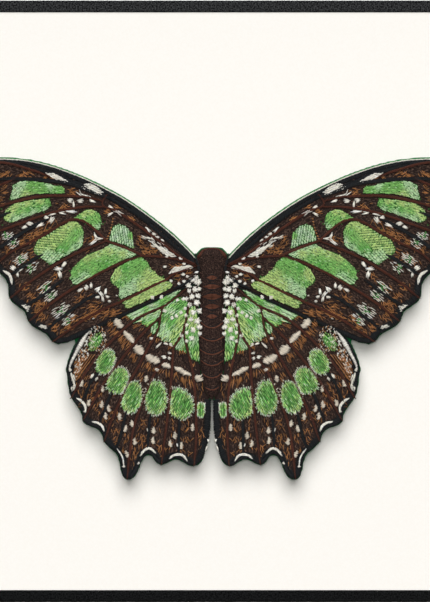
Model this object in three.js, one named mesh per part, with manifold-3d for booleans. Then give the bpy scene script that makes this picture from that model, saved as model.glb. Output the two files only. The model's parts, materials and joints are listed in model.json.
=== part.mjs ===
// An embroidered butterfly mounted a few millimetres in front of a cream board in a slim black frame.
// Everything is built in the plane of the picture: x to the right, y up, z towards the viewer, with the
// wall at z = 0. The last lines turn that plane upright. The origin is the nail that the frame hangs on.
import * as THREE from "three";
import { mergeVertices } from "three/addons/utils/BufferGeometryUtils.js";
import Module from "manifold-3d";

const wasm = await Module();
wasm.setup();

// Driving dimensions, in millimetres.
const FRAME_WIDTH = 297;
const FRAME_HEIGHT = 210;
const FRAME_DEPTH = 16;
const NAIL_BELOW_TOP = 20;
const RAIL_FACE = 4;
const RAIL_CHAMFER = 0.4;
const MITRE_GAP = 0.1;
const LEDGE_WIDTH = 6;
const LEDGE_THICKNESS = 3;
const BOARD_SETBACK = 0.8;
const BOARD_THICKNESS = 3;
const BOARD_CLEARANCE = 0.1;
const PANEL_THICKNESS = 2.5;
const CLEARANCE = 0.3;

const SCREW_ALONG_RAIL = 85;
const SCREW_SHANK = 1;
const SCREW_HEAD = 2.6;
const SCREW_HEAD_HEIGHT = 1.3;
const SCREW_LENGTH = 4.6;

const HANGER_LENGTH = 46;
const HANGER_HEIGHT = 9;
const HANGER_THICKNESS = 0.8;
const HANGER_RISE = 1.6;
const HANGER_RAISED_LENGTH = 28;
const HANGER_RAMP = 2;
const TOOTH_PITCH = 2.6;
const TOOTH_DEPTH = 1.3;
const TOOTH_COUNT = 9;
const TACK_HEAD = 2;
const TACK_SHANK = 0.6;
const TACK_LENGTH = 2.4;

const PAD_WIDTH = 12;
const PAD_HEIGHT = 34;
const PAD_THICKNESS = 5.4;
const PAD_CORNER = 3;
const FELT_THICKNESS = 1;
const FELT_RIM = 0.4;
const WING_THICKNESS = 1;
const VEIN_WIDTH = 0.7;
const VEIN_HEIGHT = 0.35;
const BODY_FLATNESS = 0.62;
const LAYER_GAP = 0.1;

// Heights above the wall that follow from the dimensions.
const BOARD_FRONT = FRAME_DEPTH - BOARD_SETBACK;
const BOARD_BACK = BOARD_FRONT - BOARD_THICKNESS;
const LEDGE_FRONT = BOARD_BACK - CLEARANCE;
const LEDGE_BACK = LEDGE_FRONT - LEDGE_THICKNESS;
const PANEL_FRONT = LEDGE_BACK - CLEARANCE;
const PANEL_BACK = PANEL_FRONT - PANEL_THICKNESS;
const RAIL_REACH = RAIL_FACE + LEDGE_WIDTH;
const SCREW_INSET = RAIL_FACE + LEDGE_WIDTH / 2;
const SCREW_HOLE = SCREW_SHANK + CLEARANCE;
const TACK_HOLE = TACK_SHANK + CLEARANCE;
const TACK_X = (HANGER_LENGTH + HANGER_RAISED_LENGTH) / 4 + HANGER_RAMP / 2;
const TACK_Y = HANGER_HEIGHT / 2 - TOOTH_DEPTH;
const FELT_BACK = BOARD_FRONT + PAD_THICKNESS + 2 * LAYER_GAP;
const WING_BACK = FELT_BACK + FELT_THICKNESS + LAYER_GAP;

// The butterfly's lines are points on the front view of the frame: pixels, x right and y down, where the
// frame is FRAME_PIXELS tall and the butterfly's axis is at AXIS_PIXEL. The right half is drawn.
const FRAME_PIXELS = 601.5;
const AXIS_PIXEL = 212;
const CENTRE_PIXEL = 301.2;
const MM_PER_PIXEL = FRAME_HEIGHT / FRAME_PIXELS;
const GAP_PIXELS = CLEARANCE / MM_PER_PIXEL;

const FOREWING_COSTA = [
  [228.4, 256.9], [240, 244.6], [260, 226.7], [280, 211.8], [300, 198.7], [320, 188.2], [340, 178.9],
  [360, 171], [380, 164.8], [400, 160.5], [420, 158.7], [440, 158.9], [458, 163], [472, 171.5], [480, 182],
];
const FOREWING_MARGIN = [
  [480, 182], [480.5, 189], [476.5, 198], [471, 207], [466.5, 214.5], [464, 220.5], [458.5, 225.5],
  [453, 231.5], [451, 237.5], [446.5, 243.5], [440, 250.5], [437, 258.5], [436, 266.5], [430.5, 272],
  [424.5, 277.5], [421, 284], [420.2, 291], [419.3, 297], [415, 302.5], [407, 308], [402.3, 312],
  [400.3, 318.5], [395.5, 325], [387, 329.8], [379, 334.5], [375, 340.3], [368.5, 343.4],
];
const FOREWING_TRAILING = [
  [368.5, 343.4], [358, 341.2], [346, 335.8], [330, 329], [314, 321.3], [298, 314.3], [282, 306.4],
  [266, 299.3], [250, 292], [236, 286.3], [224.2, 281.5],
];
const HINDWING_MARGIN = [
  [345.2, 336.6], [350.5, 344], [355, 354], [358.2, 363], [359.4, 369.5], [358, 377], [357, 386],
  [354.8, 395], [350, 402.5], [345, 409], [342.4, 415], [341.5, 421], [335, 425], [326.5, 428],
  [321.5, 433.5], [319.5, 440.5], [313, 447.2], [306, 453], [303, 460.5], [301, 470], [298.5, 476.6],
  [294.3, 478.8], [289, 476.6], [284.5, 470], [281.5, 462], [277.5, 455.5], [273.5, 453.9], [269, 455.6],
  [265, 461.3], [260.5, 463.9], [255, 462], [247, 458.3], [239, 460.4], [230.5, 465.6], [224.5, 462.2],
  [220.3, 456], [218.2, 447.5], [215.7, 440], [214, 430], [213.5, 418], [213.3, 399.6],
];
const TAIL_SLIT = [
  [210.9, 398.9], [210.7, 418], [210.2, 430], [208.6, 440], [206, 448], [203.5, 458], [220.5, 458],
  [218, 448], [215.4, 440], [213.8, 430], [213.3, 418], [213.1, 398.9],
];

const FOREWING_VEINS = [
  [[231, 263.5], [245, 255.8], [265, 241], [285, 226.5], [305, 213.5], [318, 208], [323.3, 203.5], [319.8, 196]],
  [[323.5, 201.5], [340, 197.6], [360, 196], [380, 196.3], [400, 199], [420, 203.5], [442, 210.5], [462, 219.5]],
  [[322, 206], [340, 207], [360, 209.5], [380, 214], [400, 220.5], [420, 227.5], [437, 233.5], [449, 237.5]],
  [
    [233, 264], [250, 258.8], [270, 256.3], [284, 255], [300, 247.8], [318, 241], [326, 234.8], [338, 224.2],
    [350, 219.8], [362, 222], [380, 232.5], [400, 243], [420, 253.3], [434.5, 265],
  ],
  [[284, 256.5], [300, 261.5], [320, 270], [340, 280.5], [360, 292.5], [380, 306.5], [398, 320.5]],
  [[319.5, 241.3], [340, 249], [360, 258], [380, 269.5], [400, 283], [418, 297]],
  [[230, 267], [252, 275], [265, 283], [285, 293], [310, 304], [330, 313], [350, 325], [371, 340.5]],
  [[326, 196], [350, 186.2], [370, 182], [390, 180], [412, 179], [436, 184], [458, 192], [475, 199]],
];
const HINDWING_VEINS = [
  [[240, 291], [250, 299.5], [260, 306.5], [280, 315], [297, 327], [313, 341], [329, 358.5], [343, 378], [353.5, 395]],
  [[261, 307.5], [264, 318], [283, 335.5], [297, 352], [311, 370], [325, 390], [340.5, 418.5]],
  [[263.5, 319], [265, 330], [275, 348], [290, 375], [300, 392], [309, 414], [317.5, 440]],
  [[234, 303], [237, 320], [241, 334], [249, 347], [250.5, 365], [252, 388], [255, 420], [260, 461]],
  [[238.5, 335], [235.5, 350], [231.5, 367], [229, 388], [227.5, 412], [227.8, 440], [229.5, 462]],
  [[259, 361], [268, 373], [278, 396], [287, 420], [292, 445], [294.5, 475]],
];

// The body: [pixel height, half width in pixels] from the head to the tip, and the rings of the abdomen.
const BODY_EDGE = [
  [247.8, 6], [249, 9.5], [251.5, 12.5], [255, 15.2], [259, 15.4], [264, 14.4], [269, 12.9], [275, 11.8],
  [284, 11.2], [296, 11], [306, 11.2], [316, 11.8], [334, 12.1], [346, 12.2], [359, 11.6], [371, 10.2],
  [383, 8.1], [391, 6], [395, 4], [397.5, 2],
];
const BODY_TOP = 247.4;
const BODY_TIP = 398.2;
const BODY_RINGS = [269.5, 322, 335, 348, 360.5, 372.5, 384];
const RING_HALF_LENGTH = 1.4;
const RING_DEPTH = 0.8;

const BLACK = { color: 0x1f1f20, roughness: 0.7, metalness: 0 };
const CREAM = { color: 0xfffaf0, roughness: 0.95, metalness: 0 };
const HARDBOARD = { color: 0x7d5a3c, roughness: 0.85, metalness: 0 };
const STEEL = { color: 0xb9b9b4, roughness: 0.35, metalness: 0.9 };
const FOAM = { color: 0xe9e6de, roughness: 0.95, metalness: 0 };
const GREEN_FELT = { color: 0x14502d, roughness: 0.95, metalness: 0 };
const BROWN_THREAD = { color: 0x372b27, roughness: 0.75, metalness: 0 };
const BODY_THREAD = { color: 0x392c28, roughness: 0.75, metalness: 0 };

function solid(geometry) {
  const bare = geometry.clone();
  bare.deleteAttribute("normal");
  bare.deleteAttribute("uv");
  const merged = mergeVertices(bare, 1e-4);
  const vertProperties = new Float32Array(merged.attributes.position.array);
  const triVerts = new Uint32Array(merged.index.array);
  return new wasm.Manifold(new wasm.Mesh({ numProp: 3, vertProperties, triVerts }));
}

function geometryOf(manifold) {
  const { vertProperties, triVerts } = manifold.getMesh();
  const geometry = new THREE.BufferGeometry();
  geometry.setAttribute("position", new THREE.BufferAttribute(vertProperties, 3));
  geometry.setIndex(new THREE.BufferAttribute(triVerts, 1));
  geometry.computeVertexNormals();
  return geometry;
}

function piece(name, geometry, look) {
  const mesh = new THREE.Mesh(geometry, new THREE.MeshStandardMaterial(look));
  mesh.name = name;
  return mesh;
}

function place([pixelX, pixelY]) {
  return new THREE.Vector2((pixelX - AXIS_PIXEL) * MM_PER_PIXEL, (CENTRE_PIXEL - pixelY) * MM_PER_PIXEL);
}

// A smooth line through the points, with a fixed number of steps from each point to the next.
function smooth(points, steps) {
  const curve = new THREE.SplineCurve(points.map(place));
  return curve.getPoints((points.length - 1) * steps);
}

// Joins lines end to end into one closed outline, leaving out points that repeat.
function closed(...lines) {
  const outline = [];
  for (const point of lines.flat()) {
    if (outline.length === 0 || outline.at(-1).distanceTo(point) > 0.05) outline.push(point);
  }
  if (outline[0].distanceTo(outline.at(-1)) < 0.05) outline.pop();
  return THREE.ShapeUtils.isClockWise(outline) ? outline.reverse() : outline;
}

// Moves each point of a counter-clockwise outline outwards by a distance.
function grown(outline, distance) {
  return outline.map((point, i) => {
    const before = outline.at(i - 1);
    const after = outline[(i + 1) % outline.length];
    const along = after.clone().sub(before).normalize();
    return new THREE.Vector2(point.x + along.y * distance, point.y - along.x * distance);
  });
}

function slab(outline, back, thickness) {
  const geometry = new THREE.ExtrudeGeometry(new THREE.Shape(outline), { depth: thickness, bevelEnabled: false });
  return geometry.translate(0, 0, back);
}

// A raised line of constant width along a vein.
function ridge(points, back, height) {
  const line = points.map(place);
  const left = [];
  const right = [];
  line.forEach((point, i) => {
    const before = line[Math.max(i - 1, 0)];
    const after = line[Math.min(i + 1, line.length - 1)];
    const along = after.clone().sub(before).normalize();
    const side = new THREE.Vector2(-along.y, along.x).multiplyScalar(VEIN_WIDTH / 2);
    left.push(point.clone().add(side));
    right.push(point.clone().sub(side));
  });
  return slab(right.concat(left.reverse()), back, height);
}

// A rail along x: its outer edge is at y = 0 and its ledge reaches down to y = -RAIL_REACH. The section is
// an L with small chamfers, and the ends are cut to the mitre.
function rail(length, screwXs) {
  const section = new THREE.Shape([
    new THREE.Vector2(RAIL_CHAMFER, 0),
    new THREE.Vector2(RAIL_FACE - RAIL_CHAMFER, 0),
    new THREE.Vector2(RAIL_FACE, RAIL_CHAMFER),
    new THREE.Vector2(RAIL_FACE, LEDGE_BACK),
    new THREE.Vector2(RAIL_REACH, LEDGE_BACK),
    new THREE.Vector2(RAIL_REACH, LEDGE_FRONT),
    new THREE.Vector2(RAIL_FACE, LEDGE_FRONT),
    new THREE.Vector2(RAIL_FACE, FRAME_DEPTH - RAIL_CHAMFER),
    new THREE.Vector2(RAIL_FACE - RAIL_CHAMFER, FRAME_DEPTH),
    new THREE.Vector2(RAIL_CHAMFER, FRAME_DEPTH),
    new THREE.Vector2(0, FRAME_DEPTH - RAIL_CHAMFER),
    new THREE.Vector2(0, RAIL_CHAMFER),
  ]);
  const bar = new THREE.ExtrudeGeometry(section, { depth: length, bevelEnabled: false });
  const turn = new THREE.Matrix4().makeBasis(
    new THREE.Vector3(0, -1, 0),
    new THREE.Vector3(0, 0, 1),
    new THREE.Vector3(-1, 0, 0),
  );
  bar.applyMatrix4(turn).translate(length / 2, 0, 0);
  const end = length / 2 - MITRE_GAP / 2;
  const mitre = [
    new THREE.Vector2(-end - 1, 1),
    new THREE.Vector2(-end + RAIL_REACH + 1, -RAIL_REACH - 1),
    new THREE.Vector2(end - RAIL_REACH - 1, -RAIL_REACH - 1),
    new THREE.Vector2(end + 1, 1),
  ];
  let shape = solid(bar).intersect(solid(slab(mitre, -1, FRAME_DEPTH + 2)));
  for (const x of screwXs) {
    shape = shape.subtract(solid(bore(x, -SCREW_INSET, LEDGE_BACK - 1, LEDGE_THICKNESS + 2, SCREW_HOLE)));
  }
  return geometryOf(shape);
}

// A cylinder along z, used to cut a round hole.
function bore(x, y, back, length, radius) {
  const cylinder = new THREE.CylinderGeometry(radius, radius, length, 12);
  return cylinder.rotateX(Math.PI / 2).translate(x, y, back + length / 2);
}

// A fastener along z: the head's dome points to the wall (-z) and the shank goes into the panel (+z).
function fastener(headRadius, headHeight, shankRadius, shankLength) {
  const profile = [
    new THREE.Vector2(0, -shankLength),
    new THREE.Vector2(shankRadius, -shankLength),
    new THREE.Vector2(shankRadius, 0),
    new THREE.Vector2(headRadius, 0),
    new THREE.Vector2(headRadius, headHeight * 0.4),
    new THREE.Vector2(headRadius * 0.6, headHeight * 0.9),
    new THREE.Vector2(0, headHeight),
  ];
  return new THREE.LatheGeometry(profile, 14).rotateX(-Math.PI / 2);
}

function screw() {
  const shape = solid(fastener(SCREW_HEAD, SCREW_HEAD_HEIGHT, SCREW_SHANK, SCREW_LENGTH));
  const slot = new THREE.BoxGeometry(0.7, SCREW_HEAD * 1.3, 1.2).translate(0, 0, -SCREW_HEAD_HEIGHT);
  const across = slot.clone().rotateZ(Math.PI / 2);
  return geometryOf(shape.subtract(solid(slot).add(solid(across))));
}

// The hanger's plate is flat on the panel at its ends and stands off it in the middle, where the lower
// edge is cut into teeth. Its own origin is the top of the middle notch, level with the panel's back.
function hanger() {
  const flat = LAYER_GAP;
  const raised = LAYER_GAP + HANGER_RISE;
  const half = HANGER_LENGTH / 2;
  const bend = HANGER_RAISED_LENGTH / 2;
  const near = [[-half, flat], [-bend - HANGER_RAMP, flat], [-bend, raised]];
  const far = near.map(([x, depth]) => [-x, depth]).reverse();
  const inner = near.concat(far).map(([x, depth]) => new THREE.Vector2(x, depth));
  const outer = inner.map((point) => new THREE.Vector2(point.x, point.y + HANGER_THICKNESS));
  const plate = slab(inner.concat(outer.reverse()), -TOOTH_DEPTH, HANGER_HEIGHT).rotateX(-Math.PI / 2);
  let shape = solid(plate);
  for (let i = 0; i < TOOTH_COUNT; i += 1) {
    const x = (i - (TOOTH_COUNT - 1) / 2) * TOOTH_PITCH;
    const notch = [
      new THREE.Vector2(x - TOOTH_PITCH * 0.42, -TOOTH_DEPTH - 0.1),
      new THREE.Vector2(x + TOOTH_PITCH * 0.42, -TOOTH_DEPTH - 0.1),
      new THREE.Vector2(x, 0),
    ];
    shape = shape.subtract(solid(slab(notch, -6, 7)));
  }
  for (const x of [-TACK_X, TACK_X]) {
    shape = shape.subtract(solid(bore(x, TACK_Y, -6, 7, TACK_HOLE)));
  }
  return geometryOf(shape);
}

function roundedRectangle(width, height, corner) {
  const shape = new THREE.Shape();
  const x = width / 2 - corner;
  const y = height / 2 - corner;
  shape.absarc(x, y, corner, 0, Math.PI / 2);
  shape.absarc(-x, y, corner, Math.PI / 2, Math.PI);
  shape.absarc(-x, -y, corner, Math.PI, Math.PI * 1.5);
  shape.absarc(x, -y, corner, Math.PI * 1.5, Math.PI * 2);
  return shape.getPoints(5);
}

// Half the body's width in pixels at a pixel height.
function bodyHalfWidth(pixelY) {
  const next = BODY_EDGE.findIndex(([y]) => y >= pixelY);
  if (next === -1) return BODY_EDGE.at(-1)[1];
  if (next === 0) return BODY_EDGE[0][1];
  const [y0, half0] = BODY_EDGE[next - 1];
  const [y1, half1] = BODY_EDGE[next];
  return half0 + ((half1 - half0) * (pixelY - y0)) / (y1 - y0);
}

// The body is turned about its long axis, flattened, and cut flat where it lies on the felt.
function body() {
  const stations = BODY_EDGE.map(([y, half]) => [y, half]);
  for (const ring of BODY_RINGS) {
    const half = bodyHalfWidth(ring);
    stations.push([ring - RING_HALF_LENGTH, half + 0.15]);
    stations.push([ring, half - RING_DEPTH]);
    stations.push([ring + RING_HALF_LENGTH, half + 0.15]);
  }
  stations.sort((a, b) => b[0] - a[0]);
  const edge = [[BODY_TIP, 0], ...stations, [BODY_TOP, 0]];
  const profile = edge.map(([y, half]) => place([AXIS_PIXEL + half, y]));
  const turned = new THREE.LatheGeometry(profile, 24).scale(1, 1, BODY_FLATNESS);
  const front = new THREE.BoxGeometry(40, 120, 40).translate(0, 0, 20);
  return geometryOf(solid(turned).intersect(solid(front)).translate([0, 0, WING_BACK]));
}

// The side of a wing that follows the body, a clearance away from it.
function besideBody(fromY, toY, count) {
  const line = [];
  for (let i = 0; i <= count; i += 1) {
    const y = fromY + ((toY - fromY) * i) / count;
    line.push(place([AXIS_PIXEL + bodyHalfWidth(y) + GAP_PIXELS, y]));
  }
  return line;
}

function wing(outline, veins) {
  const base = solid(slab(outline, WING_BACK, WING_THICKNESS));
  let raised = null;
  for (const vein of veins) {
    const line = solid(ridge(vein, WING_BACK + WING_THICKNESS / 2, WING_THICKNESS / 2 + VEIN_HEIGHT));
    raised = raised ? raised.add(line) : line;
  }
  const limit = solid(slab(outline, WING_BACK, WING_THICKNESS + 2 * VEIN_HEIGHT));
  return geometryOf(base.add(raised.intersect(limit)));
}

const forewingOutline = closed(
  smooth(FOREWING_COSTA, 2),
  smooth(FOREWING_MARGIN, 2),
  smooth(FOREWING_TRAILING, 2),
  besideBody(281, 258, 6),
);
const hindwingTop = FOREWING_TRAILING.slice(2).map(([x, y]) => [x, y + GAP_PIXELS]);
const hindwingOutline = closed(
  smooth(hindwingTop.reverse(), 2),
  smooth(HINDWING_MARGIN, 2),
  besideBody(396.5, 283.5, 16),
);

// The felt is every outline grown by the rim that shows, less the slit between the hindwings.
function felt() {
  const bodyOutline = closed(
    BODY_EDGE.map(([y, half]) => place([AXIS_PIXEL + half, y])),
    BODY_EDGE.map(([y, half]) => place([AXIS_PIXEL - half, y])).reverse(),
  );
  let shape = solid(slab(grown(bodyOutline, FELT_RIM), FELT_BACK, FELT_THICKNESS));
  for (const outline of [forewingOutline, hindwingOutline]) {
    const right = grown(outline, FELT_RIM);
    const left = right.map((point) => new THREE.Vector2(-point.x, point.y)).reverse();
    shape = shape.add(solid(slab(right, FELT_BACK, FELT_THICKNESS)));
    shape = shape.add(solid(slab(left, FELT_BACK, FELT_THICKNESS)));
  }
  const slit = slab(closed(TAIL_SLIT.map(place)), FELT_BACK - 1, FELT_THICKNESS + 2);
  return geometryOf(shape.subtract(solid(slit)));
}

// The frame: four rails, the board in front of their ledge, the panel behind it, and the hanger.
const frame = new THREE.Group();
const railAcross = rail(FRAME_WIDTH, [-SCREW_ALONG_RAIL, SCREW_ALONG_RAIL]);
const railUpright = rail(FRAME_HEIGHT, [0]);
const railTop = piece("rail_top", railAcross, BLACK);
const railBottom = piece("rail_bottom", railAcross, BLACK);
const railLeft = piece("rail_left", railUpright, BLACK);
const railRight = piece("rail_right", railUpright, BLACK);
railTop.position.y = FRAME_HEIGHT / 2;
railBottom.position.y = -FRAME_HEIGHT / 2;
railBottom.rotation.z = Math.PI;
railLeft.position.x = -FRAME_WIDTH / 2;
railLeft.rotation.z = Math.PI / 2;
railRight.position.x = FRAME_WIDTH / 2;
railRight.rotation.z = -Math.PI / 2;

const boardMargin = 2 * (RAIL_FACE + BOARD_CLEARANCE);
const boardBox = new THREE.BoxGeometry(FRAME_WIDTH - boardMargin, FRAME_HEIGHT - boardMargin, BOARD_THICKNESS);
const board = piece("mount_board", boardBox, CREAM);
board.position.z = (BOARD_FRONT + BOARD_BACK) / 2;

const screwPlaces = [
  [-SCREW_ALONG_RAIL, FRAME_HEIGHT / 2 - SCREW_INSET],
  [SCREW_ALONG_RAIL, FRAME_HEIGHT / 2 - SCREW_INSET],
  [-SCREW_ALONG_RAIL, SCREW_INSET - FRAME_HEIGHT / 2],
  [SCREW_ALONG_RAIL, SCREW_INSET - FRAME_HEIGHT / 2],
  [SCREW_INSET - FRAME_WIDTH / 2, 0],
  [FRAME_WIDTH / 2 - SCREW_INSET, 0],
];
const nailY = FRAME_HEIGHT / 2 - NAIL_BELOW_TOP;
const panelMargin = 2 * (RAIL_FACE + CLEARANCE);
const panelBox = new THREE.BoxGeometry(FRAME_WIDTH - panelMargin, FRAME_HEIGHT - panelMargin, PANEL_THICKNESS);
let panelShape = solid(panelBox.translate(0, 0, (PANEL_FRONT + PANEL_BACK) / 2));
for (const [x, y] of screwPlaces) {
  panelShape = panelShape.subtract(solid(bore(x, y, PANEL_BACK - 1, PANEL_THICKNESS + 2, SCREW_HOLE)));
}
for (const x of [-TACK_X, TACK_X]) {
  panelShape = panelShape.subtract(solid(bore(x, nailY + TACK_Y, PANEL_BACK - 1, PANEL_THICKNESS + 2, TACK_HOLE)));
}
const panel = piece("back_panel", geometryOf(panelShape), HARDBOARD);
frame.add(railTop, railBottom, railLeft, railRight, board, panel);

const screwShape = screw();
screwPlaces.forEach(([x, y], i) => {
  const fixing = piece(`panel_screw_${i + 1}`, screwShape, STEEL);
  fixing.position.set(x, y, PANEL_BACK - LAYER_GAP);
  frame.add(fixing);
});

const hangerPlate = piece("hanger", hanger(), STEEL);
hangerPlate.position.set(0, nailY, PANEL_BACK);
frame.add(hangerPlate);
const tackShape = fastener(TACK_HEAD, 0.9, TACK_SHANK, TACK_LENGTH);
for (const [side, x] of [["left", -TACK_X], ["right", TACK_X]]) {
  const tack = piece(`hanger_tack_${side}`, tackShape, STEEL);
  tack.position.set(x, nailY + TACK_Y, PANEL_BACK - HANGER_THICKNESS - 2 * LAYER_GAP);
  frame.add(tack);
}

// The butterfly: a pad on the board carries the felt, and the wings and the body lie on the felt.
const butterfly = new THREE.Group();
const padOutline = roundedRectangle(PAD_WIDTH, PAD_HEIGHT, PAD_CORNER);
const pad = piece("standoff_pad", slab(padOutline, BOARD_FRONT + LAYER_GAP, PAD_THICKNESS), FOAM);
pad.position.y = place([AXIS_PIXEL, 322]).y;
butterfly.add(pad, piece("felt_backing", felt(), GREEN_FELT), piece("body", body(), BODY_THREAD));

const forewing = wing(forewingOutline, FOREWING_VEINS);
const hindwing = wing(hindwingOutline, HINDWING_VEINS);
for (const [side, mirror] of [["left", -1], ["right", 1]]) {
  const fore = piece(`forewing_${side}`, forewing, BROWN_THREAD);
  const hind = piece(`hindwing_${side}`, hindwing, BROWN_THREAD);
  fore.scale.x = mirror;
  hind.scale.x = mirror;
  butterfly.add(fore, hind);
}

const picture = new THREE.Group();
picture.add(frame, butterfly);
picture.position.y = -nailY;

const upright = new THREE.Group();
upright.add(picture);
upright.rotation.x = Math.PI / 2;

const part = new THREE.Group();
part.add(upright);
export default part;
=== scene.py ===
# %% [markdown]
# # A framed embroidered butterfly
# The object is a slim black frame with a cream board. A butterfly, embroidered in thread on green felt
# and cut out, stands a few millimetres in front of the board on a hidden pad. The frame, the felt and
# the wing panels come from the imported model. This script lays the thread on them, stitch by stitch, and
# gives every surface its finish. All chance comes from one seeded generator, so that every run makes the
# same butterfly.

import json
import math

import bpy
import numpy as np
from mathutils import Matrix, Vector, noise

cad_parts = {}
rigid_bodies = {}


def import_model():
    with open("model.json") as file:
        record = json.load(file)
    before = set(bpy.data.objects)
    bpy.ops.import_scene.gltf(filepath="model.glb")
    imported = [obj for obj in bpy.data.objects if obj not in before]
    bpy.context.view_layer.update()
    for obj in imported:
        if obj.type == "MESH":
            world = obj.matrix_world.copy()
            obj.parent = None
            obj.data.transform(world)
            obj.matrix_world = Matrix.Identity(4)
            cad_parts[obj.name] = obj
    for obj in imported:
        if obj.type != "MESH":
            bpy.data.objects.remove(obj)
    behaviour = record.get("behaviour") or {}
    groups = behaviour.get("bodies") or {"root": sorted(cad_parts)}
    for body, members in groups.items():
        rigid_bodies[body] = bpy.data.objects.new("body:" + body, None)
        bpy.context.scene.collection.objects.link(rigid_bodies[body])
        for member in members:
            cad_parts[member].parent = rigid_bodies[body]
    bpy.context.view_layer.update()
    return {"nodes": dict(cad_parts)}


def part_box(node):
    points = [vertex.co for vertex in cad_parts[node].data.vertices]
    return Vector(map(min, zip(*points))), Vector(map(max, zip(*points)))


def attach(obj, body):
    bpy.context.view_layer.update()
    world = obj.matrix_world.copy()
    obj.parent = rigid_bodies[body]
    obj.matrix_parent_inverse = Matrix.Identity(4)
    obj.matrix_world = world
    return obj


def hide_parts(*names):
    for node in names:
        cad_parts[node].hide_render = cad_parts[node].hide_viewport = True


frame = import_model()
rng = np.random.default_rng(7)
print("packed nodes:", len(frame["nodes"]))

# %% [markdown]
# ## The drawing's own units
# The butterfly is drawn on the front view in pixels, x to the right and y down, where the frame is 601.5
# pixels and 210 mm tall. One function turns such a point into metres. Depths are read from the packed
# solids, so the thread lies on the cloth without any fitting.

# %% From the drawing to metres
MM = 0.001
FRAME_HEIGHT = 0.210
FRAME_PIXELS = 601.5
PIXEL = FRAME_HEIGHT / FRAME_PIXELS
AXIS = 212.0
MIDDLE = 301.2
WING_ABOVE_FELT = 1.1 * MM
BODY_ABOVE_FELT = 0.1 * MM
frame_low, frame_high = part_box("rail_left")
FRAME_CENTRE_Z = (frame_low[2] + frame_high[2]) / 2
FELT_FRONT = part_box("felt_backing")[0][1]
WING_FACE = FELT_FRONT - WING_ABOVE_FELT
BODY_BASE = FELT_FRONT - BODY_ABOVE_FELT
BOARD_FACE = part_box("mount_board")[0][1]


def in_metres(x, y):
    """The drawing's point as X and Z in metres."""
    return (x - AXIS) * PIXEL, FRAME_CENTRE_Z + (MIDDLE - y) * PIXEL


print("one pixel of the drawing is", round(PIXEL / MM, 4), "mm")

# %% [markdown]
# ## The left half
# Only the right half is drawn, and the left half mirrors it. Hand work is never quite even, though: the
# left wings are a little narrower outside and stand a little further from the body below. A mirror
# modifier can't do that, so one function places every point of the left half, for the stitches and the
# cloth alike.

# %% The left half of the drawing
DRAWN_IN = 0.042
DRAWN_IN_FROM = 60
DRAWN_IN_OVER = 150
LET_OUT_BY_HEIGHT = [(275, 0), (310, 0.8), (400, 1.4), (470, 2.4)]
LET_OUT_FROM = 13
LET_OUT_OVER = 12


def left_side(x, y):
    """Where a point of the right half lies on the left half."""
    out = x - AXIS
    drawn_in = DRAWN_IN * np.clip(out - DRAWN_IN_FROM, 0, DRAWN_IN_OVER)
    let_out = np.interp(y, *np.transpose(LET_OUT_BY_HEIGHT))
    let_out = let_out * np.clip((out - LET_OUT_FROM) / LET_OUT_OVER, 0, 1)
    return AXIS - out + drawn_in - let_out


print("the left tip is drawn in by", round(DRAWN_IN * DRAWN_IN_OVER * PIXEL / MM, 1), "mm")

# %% [markdown]
# ## Smooth lines
# Every edge, vein and patch is a few points with a smooth line through them, as a curve object would
# give. Stitches also need points at even steps, the direction at each, and a test of what lies inside a
# closed line. So these helpers work on plain arrays.

# %% Lines and outlines


def smooth(points, step=1.0):
    """A smooth line through the points (Catmull-Rom), with a point about every step pixels."""
    p = np.asarray(points, float)
    p = np.vstack([2 * p[0] - p[1], p, 2 * p[-1] - p[-2]])
    line = [p[1]]
    for a, b, c, d in zip(p[:-3], p[1:-2], p[2:-1], p[3:]):
        count = max(1, int(math.ceil(np.linalg.norm(c - b) / step)))
        for t in np.arange(1, count + 1) / count:
            bowed = 2 * b + (c - a) * t + (2 * a - 5 * b + 4 * c - d) * t**2
            line.append(0.5 * (bowed + (3 * b - a - 3 * c + d) * t**3))
    return np.array(line)


def closed(outline):
    """An outline's points with the first one again at the end."""
    return [*outline, outline[0]]


def spaced(line, step):
    """Points at equal steps along a line, with the direction of travel at each."""
    line = np.asarray(line, float)
    lengths = np.r_[0, np.cumsum(np.linalg.norm(np.diff(line, axis=0), axis=1))]
    at = np.linspace(0, lengths[-1], max(2, int(round(lengths[-1] / step)) + 1))
    points = np.c_[np.interp(at, lengths, line[:, 0]), np.interp(at, lengths, line[:, 1])]
    along = np.gradient(points, axis=0)
    return points, along / np.linalg.norm(along, axis=1, keepdims=True)


def inside(outline, points):
    """Which points lie inside a closed outline, by counting the edges to their right."""
    outline, points = np.asarray(outline, float), np.asarray(points, float)
    hit = np.zeros(len(points), bool)
    for (x0, y0), (x1, y1) in zip(outline, np.roll(outline, -1, axis=0)):
        if y0 == y1:
            continue
        crosses = (y0 > points[:, 1]) != (y1 > points[:, 1])
        hit ^= crosses & (points[:, 0] < x0 + (points[:, 1] - y0) * (x1 - x0) / (y1 - y0))
    return hit


def distance_to(line, points):
    """How far each point is from the nearest point of a finely spaced line."""
    gaps = np.asarray(points)[:, None, :] - np.asarray(line)[None, :, :]
    return np.sqrt((gaps**2).sum(axis=2)).min(axis=1)


print("a line through three points gets", len(smooth([(0, 0), (10, 0), (20, 5)])), "points")

# %% [markdown]
# ## The forewing
# These are the lines that the wing panels were cut to, so the thread ends where the cloth ends. The
# leading edge, the scalloped margin and the trailing edge are kept apart, because each has its own
# border.

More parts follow.
